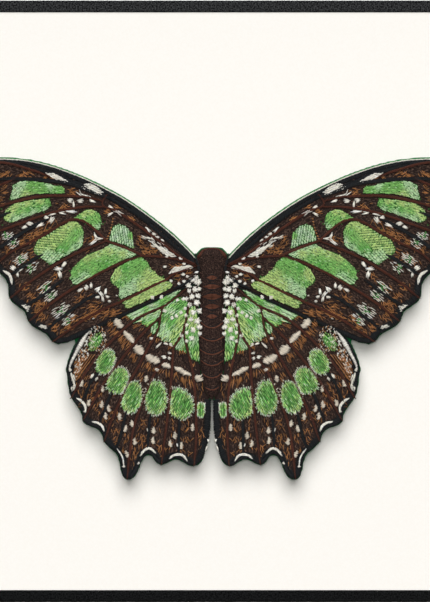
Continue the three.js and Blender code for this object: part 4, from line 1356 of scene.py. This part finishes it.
def make_stitch(name, rings):
    """One stitch, a unit long, wide and high, that lies along X and rises along Z."""
    verts, faces, sides = [], [], len(SECTION)
    for x, wide, high in rings:
        verts += [(x, y * wide, z * high if z > 0 else z) for y, z in SECTION]
    for ring in range(len(rings) - 1):
        for i in range(sides):
            a, b = ring * sides + i, ring * sides + (i + 1) % sides
            faces.append((a, a + sides, b + sides, b))
    last = len(verts) - sides
    faces += [tuple(range(sides)), tuple(last + i for i in reversed(range(sides)))]
    made = mesh_object(name, verts, faces)
    strand = made.data.uv_layers.new(name="strand")
    for loop in made.data.loops:
        x, y, _ = verts[loop.vertex_index]
        strand.data[loop.index].uv = (x + 0.5, y + 0.5)
    return made


one_strand, one_seed = make_stitch("one_strand", STRAND_RINGS), make_stitch("one_seed", SEED_RINGS)
print("faces in a strand:", len(one_strand.data.polygons), "in a seed:", len(one_seed.data.polygons))

# %% [markdown]
# ## What the node tree is given
# A Geometry Nodes tree lays the stitches. It has named inputs, as a tool has settings: the stitch, the
# thread's height and how uneven it is. Helpers read what the points carry and add chance to the height.

# %% Inputs of the tree and helpers
SOCKETS = {
    "Plan": "Geometry",
    "Stitch": "Object",
    "Thread height": "Float",
    "Unevenness": "Float",
    "Seed": "Int",
    "Thread": "Material",
}


def with_inputs(node, values):
    """Sets inputs of a node, by name or by number, and gives the node back."""
    for name, value in values.items():
        node.inputs[name].default_value = value
    return node


def stored(tree, name):
    """A vector that the points carry."""
    node = with_inputs(tree.nodes.new("GeometryNodeInputNamedAttribute"), {"Name": name})
    node.data_type = "FLOAT_VECTOR"
    return node.outputs["Attribute"]


def uneven_height(tree, given):
    """The thread's height, less a share that chance chooses for each stitch."""
    nodes, link = tree.nodes, tree.links.new
    least = with_inputs(nodes.new("ShaderNodeMath"), {0: 1.0})
    least.operation = "SUBTRACT"
    link(given.outputs["Unevenness"], least.inputs[1])
    chance = with_inputs(nodes.new("FunctionNodeRandomValue"), {3: 1.0})
    link(given.outputs["Seed"], chance.inputs["Seed"])
    link(least.outputs[0], chance.inputs[2])
    height = nodes.new("ShaderNodeMath")
    height.operation = "MULTIPLY"
    link(given.outputs["Thread height"], height.inputs[0])
    link(chance.outputs[1], height.inputs[1])
    return height.outputs[0]


print("inputs of the tree:", ", ".join(SOCKETS))

# %% [markdown]
# ## The node tree
# The tree puts a copy of the stitch on every planned point, turned and sized as the point says, and
# realizes the copies into one mesh. A loop could copy the vertices too, but the tree is faster.

# %% Geometry Nodes: lay stitches


def stitching_tree():
    """Copies a stitch to every planned point, turned and sized as the point says."""
    tree = bpy.data.node_groups.new("lay_stitches", "GeometryNodeTree")
    for name, kind in SOCKETS.items():
        tree.interface.new_socket(name, in_out="INPUT", socket_type="NodeSocket" + kind)
    tree.interface.new_socket("Stitches", in_out="OUTPUT", socket_type="NodeSocketGeometry")
    nodes, link = tree.nodes, tree.links.new
    given, out = nodes.new("NodeGroupInput"), nodes.new("NodeGroupOutput")
    points = nodes.new("GeometryNodeMeshToPoints")
    link(given.outputs["Plan"], points.inputs["Mesh"])
    stitch = nodes.new("GeometryNodeObjectInfo")
    link(given.outputs["Stitch"], stitch.inputs["Object"])
    rotation = nodes.new("FunctionNodeEulerToRotation")
    link(stored(tree, "turn"), rotation.inputs["Euler"])
    parts = nodes.new("ShaderNodeSeparateXYZ")
    link(stored(tree, "size"), parts.inputs["Vector"])
    scale = nodes.new("ShaderNodeCombineXYZ")
    link(parts.outputs["X"], scale.inputs["X"])
    link(parts.outputs["Y"], scale.inputs["Y"])
    link(uneven_height(tree, given), scale.inputs["Z"])
    copies = nodes.new("GeometryNodeInstanceOnPoints")
    link(points.outputs["Points"], copies.inputs["Points"])
    link(stitch.outputs["Geometry"], copies.inputs["Instance"])
    link(rotation.outputs["Rotation"], copies.inputs["Rotation"])
    link(scale.outputs["Vector"], copies.inputs["Scale"])
    realized = nodes.new("GeometryNodeRealizeInstances")
    link(copies.outputs["Instances"], realized.inputs["Geometry"])
    thread = nodes.new("GeometryNodeSetMaterial")
    link(realized.outputs["Geometry"], thread.inputs["Geometry"])
    link(given.outputs["Thread"], thread.inputs["Material"])
    link(thread.outputs["Geometry"], out.inputs["Stitches"])
    return tree


lay_stitches = stitching_tree()
print("nodes in the tree:", len(lay_stitches.nodes))

# %% [markdown]
# ## The thread's finish
# Embroidery thread is two plies of fine filament with a soft gloss. The colour is the stitch's own, and a
# fine slanting ripple stands for the twist. Modelled plies would multiply the faces, so a wave texture on
# the strand's own UV map does it, in the bump and as painted shade and highlight in the colour.

# %% Thread material
TWIST_SCALE = 4.0
TWIST_DARK, TWIST_LIGHT = 0.88, 1.06
TWIST_DEPTH = 0.05 * MM


def new_material(name):
    """A material with its nodes and the function that links them."""
    material = bpy.data.materials.new(name)
    material.use_nodes = True
    return material, material.node_tree.nodes, material.node_tree.links.new


def add_bump(nodes, link, height, strength, distance):
    """Lets a value raise the surface of the material's shader."""
    bump = with_inputs(nodes.new("ShaderNodeBump"), {"Strength": strength, "Distance": distance})
    link(height, bump.inputs["Height"])
    link(bump.outputs["Normal"], nodes["Principled BSDF"].inputs["Normal"])


def thread_finish(name, roughness, gloss):
    """Thread whose colour is the stitch's own attribute."""
    material, nodes, link = new_material(name)
    shader = with_inputs(nodes["Principled BSDF"], {"Roughness": roughness, "Specular IOR Level": gloss})
    colour = nodes.new("ShaderNodeAttribute")
    colour.attribute_name = "thread_colour"
    strand = nodes.new("ShaderNodeUVMap")
    strand.uv_map = "strand"
    twist = with_inputs(nodes.new("ShaderNodeTexWave"), {"Scale": TWIST_SCALE})
    twist.wave_type = "BANDS"
    twist.bands_direction = "DIAGONAL"
    link(strand.outputs["UV"], twist.inputs["Vector"])
    # painted shade and highlight: the twist's ripple darkens and lightens the thread's colour
    twist_shading = with_inputs(nodes.new("ShaderNodeMapRange"), {"To Min": TWIST_DARK, "To Max": TWIST_LIGHT})
    link(twist.outputs["Fac"], twist_shading.inputs["Value"])
    tint = with_inputs(nodes.new("ShaderNodeMix"), {"Factor": 1.0})
    tint.data_type = "RGBA"
    tint.blend_type = "MULTIPLY"
    link(colour.outputs["Color"], tint.inputs["A"])
    link(twist_shading.outputs["Result"], tint.inputs["B"])
    link(tint.outputs["Result"], shader.inputs["Base Color"])
    add_bump(nodes, link, twist.outputs["Fac"], 0.25, TWIST_DEPTH)
    return material


matte_thread = thread_finish("matte_thread", 0.8, 0.06)
gloss_thread = thread_finish("gloss_thread", 0.6, 0.12)
print("thread materials:", matte_thread.name, gloss_thread.name)

# %% [markdown]
# ## Where a stitch lies
# On the wings a stitch lies flat and only turns in the plane of the picture. The body is round: a half
# ellipse at every height gives the depth under a stitch and the way it faces. The shrinkwrap modifier
# could press the stitches down, but then they would lose their thickness.

# %% Places on the wings and on the body
NARROWEST_HALF = 0.5
SIDE_LIMIT = 0.97


def body_surface(x, y):
    """The body's front at a point of the drawing, in metres, and the direction it faces."""
    half = max(body_half_width(y), NARROWEST_HALF)
    side = min(abs(x - AXIS), half * SIDE_LIMIT) * math.copysign(1, x - AXIS)
    height = math.sqrt(half * half - side * side)
    slope = -BODY_FLATNESS * side / height
    ahead = body_half_width(y + 1) - body_half_width(y - 1)
    lengthwise = 0.5 * ahead * BODY_FLATNESS * half / height
    return BODY_BASE - BODY_FLATNESS * height * PIXEL, Vector((-slope, -1, lengthwise)).normalized()


def on_wing(x, y, angle, lift):
    """The place and the turn of a stitch on the wings."""
    across, up = in_metres(x, y)
    return (across, WING_FACE - lift * MM, up), (math.pi / 2, -angle, 0)


def on_body(x, y, angle, lift):
    """The place and the turn of a stitch on the body."""
    across, up = in_metres(x, y)
    depth, out = body_surface(x, y)
    way = Vector((math.cos(angle), 0, math.sin(angle)))
    way = (way - out * way.dot(out)).normalized()
    turn = Matrix((way, out.cross(way), out)).transposed().to_euler()
    return Vector((across, depth, up)) + out * lift * MM, turn


print("the body stands", round((BODY_BASE - body_surface(AXIS, 259)[0]) / MM, 2), "mm high at its widest")

# %% [markdown]
# ## A plan as points
# A plan becomes a cloud of points, each with the turn, the size and the colour of its stitch as
# attributes. A Geometry Nodes tree can read those, so Python only has to find the places.

# %% From plan to points


def give(cloud, name, kind, field, values):
    """Stores a value on every point of a cloud."""
    cloud.attributes.new(name, kind, "POINT").data.foreach_set(field, np.ravel(values))


def point_cloud(name, plan, where):
    """A plan as an object of single points that carry the turn, the size and the colour."""
    rows = np.array(plan.rows)
    places, turns = zip(*(where(*row) for row in rows[:, [0, 1, 2, 5]]))
    cloud = bpy.data.meshes.new(name + "_plan")
    cloud.from_pydata([tuple(place) for place in places], [], [])
    ones = np.ones(len(rows))
    give(cloud, "turn", "FLOAT_VECTOR", "vector", [tuple(turn) for turn in turns])
    give(cloud, "size", "FLOAT_VECTOR", "vector", np.c_[rows[:, 3:5] * PIXEL, ones])
    give(cloud, "thread_colour", "FLOAT_COLOR", "color", np.c_[rows[:, 6:9], ones])
    return add_object(name + "_plan", cloud)


print("points for the right half's ground and greens:", len(ground.rows), len(green.rows))

# %% [markdown]
# ## From points to thread
# The tree runs as a modifier on the points, and the result is kept as a plain mesh. Each stitch then gets
# a cell of its own on a second UV map, so that its colour can be baked without touching its neighbour's.
# The thread rides on the frame.

# %% From points to mesh
UNEVENNESS = 0.3
CHANCE_SEED = 1
CELL_EDGE = 0.1


def give_cells(mesh, count):
    """A UV map on which every stitch has a square cell of its own."""
    across = int(math.ceil(math.sqrt(count)))
    loops = len(mesh.loops)
    local = np.empty(loops * 2)
    mesh.uv_layers["strand"].data.foreach_get("uv", local)
    local = local.reshape(-1, 2)
    cell = np.arange(loops) // (loops // count)
    corner = np.c_[cell % across, cell // across]
    cells = mesh.uv_layers.new(name="OFBake")
    cells.data.foreach_set("uv", ((corner + CELL_EDGE + (1 - 2 * CELL_EDGE) * local) / across).ravel())
    mesh.uv_layers["strand"].active_render = True


def lay(name, plan, slot, thread, height_mm, stitch, where=on_wing):
    """Turns a plan into one mesh of stitches that rides on the frame."""
    planned = point_cloud(name, plan, where)
    modifier = planned.modifiers.new("stitches", "NODES")
    modifier.node_group = lay_stitches
    values = {"Stitch": stitch, "Thread height": height_mm * MM, "Unevenness": UNEVENNESS}
    values.update({"Seed": CHANCE_SEED, "Thread": thread})
    for item in lay_stitches.interface.items_tree:
        if item.name in values:
            modifier[item.identifier] = values[item.name]
    evaluated = planned.evaluated_get(bpy.context.evaluated_depsgraph_get())
    mesh = bpy.data.meshes.new_from_object(evaluated)
    mesh.name = name
    bpy.data.objects.remove(planned)
    piece = add_object(name, mesh)
    count = len(plan.rows)
    give_cells(mesh, count)
    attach(piece, "root")
    triangles = sum(len(p.vertices) - 2 for p in stitch.data.polygons) * count
    print(f"{name}: {count} stitches, {triangles} triangles")


print("a stitch's cell keeps a free edge of", CELL_EDGE)

# %% [markdown]
# ## The wings' thread, layer by layer
# Each layer is one piece a side: the ground first, then flecks, borders, edge lines, greens, pale marks
# and cords. The thread's height in millimetres differs: the cords are the thickest and the greens the
# flattest.

# %% Laying both sides
LAYERS = [
    ("ground_stitches", ground, "wing_ground", matte_thread, 0.24, one_seed),
    ("caramel_flecks", flecks, "wing_ground", matte_thread, 0.22, one_strand),
    ("black_borders", border, "wing_ground", gloss_thread, 0.3, one_strand),
    ("edge_lines", edging, "wing_ground", gloss_thread, 0.3, one_strand),
    ("green_patches", green, "green_felt", gloss_thread, 0.18, one_strand),
    ("pale_marks", pale, "body_thread", gloss_thread, 0.34, one_strand),
    ("vein_cords", cords, "wing_ground", gloss_thread, 0.5, one_strand),
]
for side in ("right", "left"):
    for name, plan, *look in LAYERS:
        lay(f"{name}_{side}", plan if side == "right" else plan.mirrored(), *look)
print("layers on each side:", len(LAYERS))

# %% [markdown]
# ## Cloth
# The wings' cloth and the felt are matte with a fine, fuzzy grain. One function makes all such finishes:
# a noise texture colours the surface from dark to light and also raises it. It needs no UV map, only the
# object's own space.

# %% Grainy finishes
CLOTH_DARK, CLOTH_LIGHT = 0.6, 1.35


def grainy(name, dark, light, scale, roughness, bump_mm, metallic=0.0, detail=3.0, specular=0.5, soft=0.2,
           strength=0.4):
    """A finish with a fine grain in its colour, between two linear colours, and in its surface."""
    material, nodes, link = new_material(name)
    looks = {"Roughness": roughness, "Metallic": metallic, "Specular IOR Level": specular}
    shader = with_inputs(nodes["Principled BSDF"], looks)
    place = nodes.new("ShaderNodeTexCoord")
    speckle = with_inputs(nodes.new("ShaderNodeTexNoise"), {"Scale": scale, "Detail": detail})
    link(place.outputs["Object"], speckle.inputs["Vector"])
    ramp = nodes.new("ShaderNodeValToRGB")
    for end, at, colour in zip(ramp.color_ramp.elements, (0.5 - soft, 0.5 + soft), (dark, light)):
        end.position = at
        end.color = (*colour, 1)
    link(speckle.outputs["Fac"], ramp.inputs["Fac"])
    link(ramp.outputs["Color"], shader.inputs["Base Color"])
    add_bump(nodes, link, speckle.outputs["Fac"], strength, bump_mm * MM)
    return material


def cloth_finish(name, colour, scale, bump_mm):
    """Plain cloth: a fine fuzzy grain on a base colour."""
    dark, light = linear(colour) * CLOTH_DARK, np.clip(linear(colour) * CLOTH_LIGHT, 0, 1)
    return grainy(name, dark, light, scale, 0.9, bump_mm, detail=4.0, specular=0.05, strength=0.5)


brown_cloth = cloth_finish("brown_cloth", (44, 34, 31), 4000, 0.1)
felt = cloth_finish("green_felt", (30, 104, 58), 2500, 0.2)
green_cloth = cloth_finish("green_cloth", (62, 112, 54), 4000, 0.1)
print("cloth finishes:", brown_cloth.name, felt.name, green_cloth.name)

# %% [markdown]
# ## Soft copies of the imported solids
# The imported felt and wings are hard-edged solids, but real cloth has a soft, slightly uneven face. So a
# copy is welded, remeshed finely and pushed in a little by noise, and its left half takes the left half's
# own outline. A cloth simulation isn't needed, because the work is stitched stiff and lies flat.

# %% Soft copies
WELD_MM = 0.001
NOISE_SCALE = 900


def follow_left(mesh):
    """Moves the left half of a soft piece to where the left half's stitches lie."""
    places = np.empty(len(mesh.vertices) * 3)
    mesh.vertices.foreach_get("co", places)
    places = places.reshape(-1, 3)
    x, y = AXIS - places[:, 0] / PIXEL, MIDDLE - (places[:, 2] - FRAME_CENTRE_Z) / PIXEL
    left = places[:, 0] < 0
    places[left, 0] = (left_side(x, y)[left] - AXIS) * PIXEL
    mesh.vertices.foreach_set("co", places.ravel())
    mesh.update()


def soft_copy(node, name, voxel_mm, uneven_mm, material):
    """A packed soft solid made again as cloth: finely meshed, with rounded edges and an uneven face."""
    made = add_object(name, frame["nodes"][node].data.copy())
    made.modifiers.new("weld", "WELD").merge_threshold = WELD_MM * MM
    remesh = made.modifiers.new("fine mesh", "REMESH")
    remesh.mode, remesh.voxel_size = "VOXEL", voxel_mm * MM
    mesh = bpy.data.meshes.new_from_object(made.evaluated_get(bpy.context.evaluated_depsgraph_get()))
    made.modifiers.clear()
    made.data = mesh
    follow_left(mesh)
    ways = [vertex.normal.copy() for vertex in mesh.vertices]
    for vertex, way in zip(mesh.vertices, ways):
        vertex.co -= way * uneven_mm * MM * (0.5 + noise.noise(vertex.co * NOISE_SCALE))
    mesh.shade_smooth()
    mesh.materials.clear()
    mesh.materials.append(material)
    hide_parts(node)
    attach(made, "root")
    print(f"{name}: {sum(len(p.vertices) - 2 for p in mesh.polygons)} triangles")
    return made


print("a soft copy is welded within", WELD_MM, "mm")

# %% [markdown]
# ## Felt and wings
# The green felt is cut to the whole outline and shows as a thin green line round the thread. The four
# wing panels lie on it.

# %% Felt and wing cloths
CLOTH_VOXEL_MM = 0.7
CLOTH_UNEVEN_MM = 0.05
felt_sheet = soft_copy("felt_backing", "felt_sheet", CLOTH_VOXEL_MM, CLOTH_UNEVEN_MM, felt)
for wing in ("forewing_left", "forewing_right", "hindwing_left", "hindwing_right"):
    panel = soft_copy(wing, wing + "_cloth", CLOTH_VOXEL_MM, CLOTH_UNEVEN_MM, brown_cloth)
print("points of the felt:", len(felt_sheet.data.vertices))

# %% [markdown]
# ## The padded body
# The body is a stuffed roll, flat at the back. It is lofted from the same half widths as the packed
# solid, with more stations, because the stitches lie on it and would float over coarse facets.

# %% Body pad and its thread
BODY_STATIONS = 90
BODY_ACROSS = 15
STATION_INSET = 0.25


def make_body():
    """A closed, domed roll lofted along the body's axis."""
    top, foot = BODY_EDGE[0][0] + STATION_INSET, BODY_EDGE[-1][0] - STATION_INSET
    verts, faces = [], []
    for y in np.linspace(top, foot, BODY_STATIONS):
        half = body_half_width(y)
        for t in np.linspace(0, math.pi, BODY_ACROSS):
            x, z = in_metres(AXIS - half * math.cos(t), y)
            verts.append((x, BODY_BASE - BODY_FLATNESS * half * PIXEL * math.sin(t), z))
    for first in range(0, (BODY_STATIONS - 1) * BODY_ACROSS, BODY_ACROSS):
        last = first + BODY_ACROSS - 1
        for a in range(first, last):
            faces.append((a, a + BODY_ACROSS, a + BODY_ACROSS + 1, a + 1))
        faces.append((first, last, last + BODY_ACROSS, first + BODY_ACROSS))
    faces.append(tuple(range(BODY_ACROSS)))
    faces.append(tuple(reversed(range(len(verts) - BODY_ACROSS, len(verts)))))
    return mesh_object("body_pad", verts, faces)


body_pad = make_body()
body_pad.data.materials.append(brown_cloth)
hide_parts("body")
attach(body_pad, "root")
lay("body_stitches", body_plan, "body_thread", matte_thread, 0.24, one_seed, on_body)
lay("body_marks", body_marks, "body_thread", gloss_thread, 0.24, one_strand, on_body)
print("faces of the body pad:", len(body_pad.data.polygons))

# %% [markdown]
# ## Cloth under the greens
# Under each green patch lies a thin green cloth, so that the gaps between the stitches show green and not
# brown. It is the patch's own outline with a front, a back and sides. The order of the outline's points
# is tested first, so that the faces point outwards on both halves.

# %% Underlays
UNDERLAY_TOP_MM = 0.22
UNDERLAY_STEP = 1.5


def make_underlay(side):
    """Thin closed pieces of cloth under the green patches of one side."""
    verts, faces = [], []
    for outline in underlays:
        line = smooth(closed(outline), UNDERLAY_STEP)[:-1]
        if side == "left":
            line = np.c_[left_side(line[:, 0], line[:, 1]), line[:, 1]][::-1]
        x, z = in_metres(line[:, 0], line[:, 1])
        start, count = len(verts), len(line)
        area = np.dot(x, np.roll(z, -1)) - np.dot(z, np.roll(x, -1))
        order = range(count) if area > 0 else range(count - 1, -1, -1)
        for y in (WING_FACE - UNDERLAY_TOP_MM * MM, WING_FACE):
            verts += [(x[i], y, z[i]) for i in order]
        faces.append(tuple(start + i for i in range(count)))
        faces.append(tuple(start + count + i for i in reversed(range(count))))
        for i in range(count):
            j = (i + 1) % count
            faces.append((start + i, start + count + i, start + count + j, start + j))
    made = mesh_object(f"green_underlay_{side}", verts, faces)
    made.data.shade_flat()
    made.data.materials.append(green_cloth)
    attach(made, "root")


for side in ("right", "left"):
    make_underlay(side)
print("underlays:", len(underlays), "on each side")

# %% [markdown]
# ## Finishes of the frame
# The rails are powder-coated: matte black with a fine pimpled skin, painted a little lighter towards the
# top as painted light from above. The board is cream paper, the back is brown hardboard, and the fittings
# are zinc. All are grainy finishes, and a few more nodes paint the black darker downwards as painted shade.

# %% Frame materials


def set_material(material, *names):
    """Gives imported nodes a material."""
    for name in names:
        mesh = frame["nodes"][name].data
        mesh.materials.clear()
        mesh.materials.append(material)


def speckled(name, dark, light, *values, **more):
    """A grainy finish between two colours that are written as they look."""
    return grainy(name, linear(dark), linear(light), *values, **more)


def paint_shade_downwards(material, low, high):
    """Paints light and shade: multiplies a finish's colour by low at the frame's foot and by high at its top.
    """
    nodes, link = material.node_tree.nodes, material.node_tree.links.new
    base = nodes["Principled BSDF"].inputs["Base Color"]
    colour = base.links[0].from_socket
    place, parts, scale = (nodes.new("ShaderNode" + kind) for kind in ("TexCoord", "SeparateXYZ", "MapRange"))
    link(place.outputs["Object"], parts.inputs["Vector"])
    link(parts.outputs["Z"], scale.inputs["Value"])
    with_inputs(scale, {"From Min": frame_low[2], "From Max": frame_high[2], "To Min": low, "To Max": high})
    tint = nodes.new("ShaderNodeVectorMath")
    tint.operation = "SCALE"
    link(colour, tint.inputs[0])
    link(scale.outputs["Result"], tint.inputs["Scale"])
    link(tint.outputs["Vector"], base)


black_coat = speckled("black_coat", (1, 1, 2), (64, 65, 66), 2000, 0.8, 0.06, specular=0.0, soft=0.12)
# painted light and shade: the rails' black is lighter at the top and darker at the foot, as if lit from above
paint_shade_downwards(black_coat, 0.33, 1.06)
cream_board = speckled("cream_board", (251, 247, 240), (253, 250, 244), 1400, 0.95, 0.01, specular=0.1)
hardboard = speckled("hardboard", (104, 72, 47), (140, 102, 70), 700, 0.85, 0.08, detail=6.0)
zinc = speckled("zinc", (176, 176, 172), (200, 200, 196), 1500, 0.35, 0.02, metallic=0.9)
set_material(black_coat, "rail_top", "rail_bottom", "rail_left", "rail_right")
set_material(cream_board, "mount_board")
set_material(hardboard, "back_panel")
set_material(zinc, "hanger", "hanger_tack_left", "hanger_tack_right")
set_material(zinc, *[f"panel_screw_{i}" for i in range(1, 7)])
print("frame finishes:", black_coat.name, cream_board.name, hardboard.name, zinc.name)

# %% [markdown]
# ## The hidden pad
# A block of foam behind the body holds the butterfly off the board. It is soft, so it is remeshed like
# the cloth, with a more uneven face. The two single stitches have done their work and are removed.

# %% Foam pad
foam = speckled("foam", (226, 222, 212), (240, 237, 230), 1800, 0.95, 0.15)
foam_pad = soft_copy("standoff_pad", "foam_pad", 1.0, 0.2, foam)
for helper in (one_strand, one_seed):
    bpy.data.objects.remove(helper)
print("points of the foam pad:", len(foam_pad.data.vertices))

# %% [markdown]
# ## Floor
# The frame stands on a plain pale floor that curves up far away, like a wide dish, so that no edge shows
# from any side. Rings of points make it with few faces. It throws no diffuse light back on the frame,
# which leaves that to the lamps and a faint sky.

# %% Floor
RINGS = [0.01, 3, 6.5, 7.5, 8.5, 9.5, 10.5, 11.5, 12.5]
AROUND = 72
FLAT_RADIUS = 6.5
FLOOR_CURVE = 0.025
FLOOR_GAP = 0.0002
verts, faces = [], []
for radius in RINGS:
    height = frame_low[2] - FLOOR_GAP + FLOOR_CURVE * max(0, radius - FLAT_RADIUS) ** 2
    for turn in np.arange(AROUND) * 2 * math.pi / AROUND:
        verts.append((radius * math.cos(turn), radius * math.sin(turn), height))
for start in range(0, (len(RINGS) - 1) * AROUND, AROUND):
    for i in range(AROUND):
        a, b = start + i, start + (i + 1) % AROUND
        faces.append((a + AROUND, b + AROUND, b, a))
floor = mesh_object("floor", verts, faces + [tuple(range(AROUND))])
floor.data.materials.append(speckled("floor_paper", (236, 235, 232), (240, 239, 236), 3, 0.9, 0.0))
floor.visible_diffuse = False
print("floor rings:", len(RINGS))

# %% [markdown]
# ## Light
# A broad key light from above and in front lets the wings' shadow fall below them on the board, and a
# weaker one from straight above deepens it. A light from the front fills the shadow, and one from behind
# shows the back. The broad ones are sun lights, because a sun light's angle sets how soft its shadow is.

# %% Lights
FILL_DISTANCE = 2.6
FILL_SIZE = 0.6
FILL_WATTS = 26.5
WORLD_COLOUR = (1, 0.99, 0.97, 1)
WORLD_STRENGTH = 0.05


def broad_light(name, height, width, strength, turn=0.0):
    """An even light, so many radians above the level and so many wide, from the front or turned about."""
    made = add_object(name, bpy.data.lights.new(name, "SUN"))
    made.data.energy, made.data.angle = strength, width
    made.rotation_euler = (math.pi / 2 - height, 0, turn)


broad_light("key", math.radians(35), math.radians(47), 2.72)
broad_light("overhead", math.radians(90), 0.2, 1.0)
front_fill = add_object("front_fill", bpy.data.lights.new("front_fill", "AREA"))
front_fill.data.size, front_fill.data.energy = FILL_SIZE, FILL_WATTS
front_fill.location = (0, BOARD_FACE - FILL_DISTANCE, FRAME_CENTRE_Z)
front_fill.rotation_euler = Vector((0, 1, 0)).to_track_quat("-Z", "Y").to_euler()
front_fill.visible_camera = False
broad_light("back_fill", math.radians(32), math.radians(40), 2.0, math.radians(145))
world = bpy.data.worlds.new("studio")
bpy.context.scene.world = world
world.use_nodes = True
with_inputs(world.node_tree.nodes["Background"], {"Color": WORLD_COLOUR, "Strength": WORLD_STRENGTH})
print("lights:", len(bpy.data.lights))

# %% [markdown]
# ## Camera
# The camera looks straight at the frame from far away, as the photograph does, so that the rails stay
# parallel. Its lens follows from the distance and from how much of the frame the picture shows.

# %% Camera
PHOTO_HEIGHT = 602
PHOTO_CENTRE = (215, 301)
CAMERA_DISTANCE = 2.4
SENSOR_MM = 36
CLIP_END = 200
frame_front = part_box("rail_top")[0][1]
camera = add_object("camera", bpy.data.cameras.new("camera"))
camera.data.sensor_width = SENSOR_MM
camera.data.lens = SENSOR_MM * CAMERA_DISTANCE / (PHOTO_HEIGHT * PIXEL)
camera_x, camera_z = in_metres(*PHOTO_CENTRE)
camera.location = (camera_x, frame_front - CAMERA_DISTANCE, camera_z)
camera.rotation_euler = (math.pi / 2, 0, 0)
camera.data.clip_end = CLIP_END
bpy.context.scene.camera = camera
bpy.context.scene.view_settings.view_transform = "Standard"
print("camera at", [round(c, 4) for c in camera.location], "lens", round(camera.data.lens, 1))
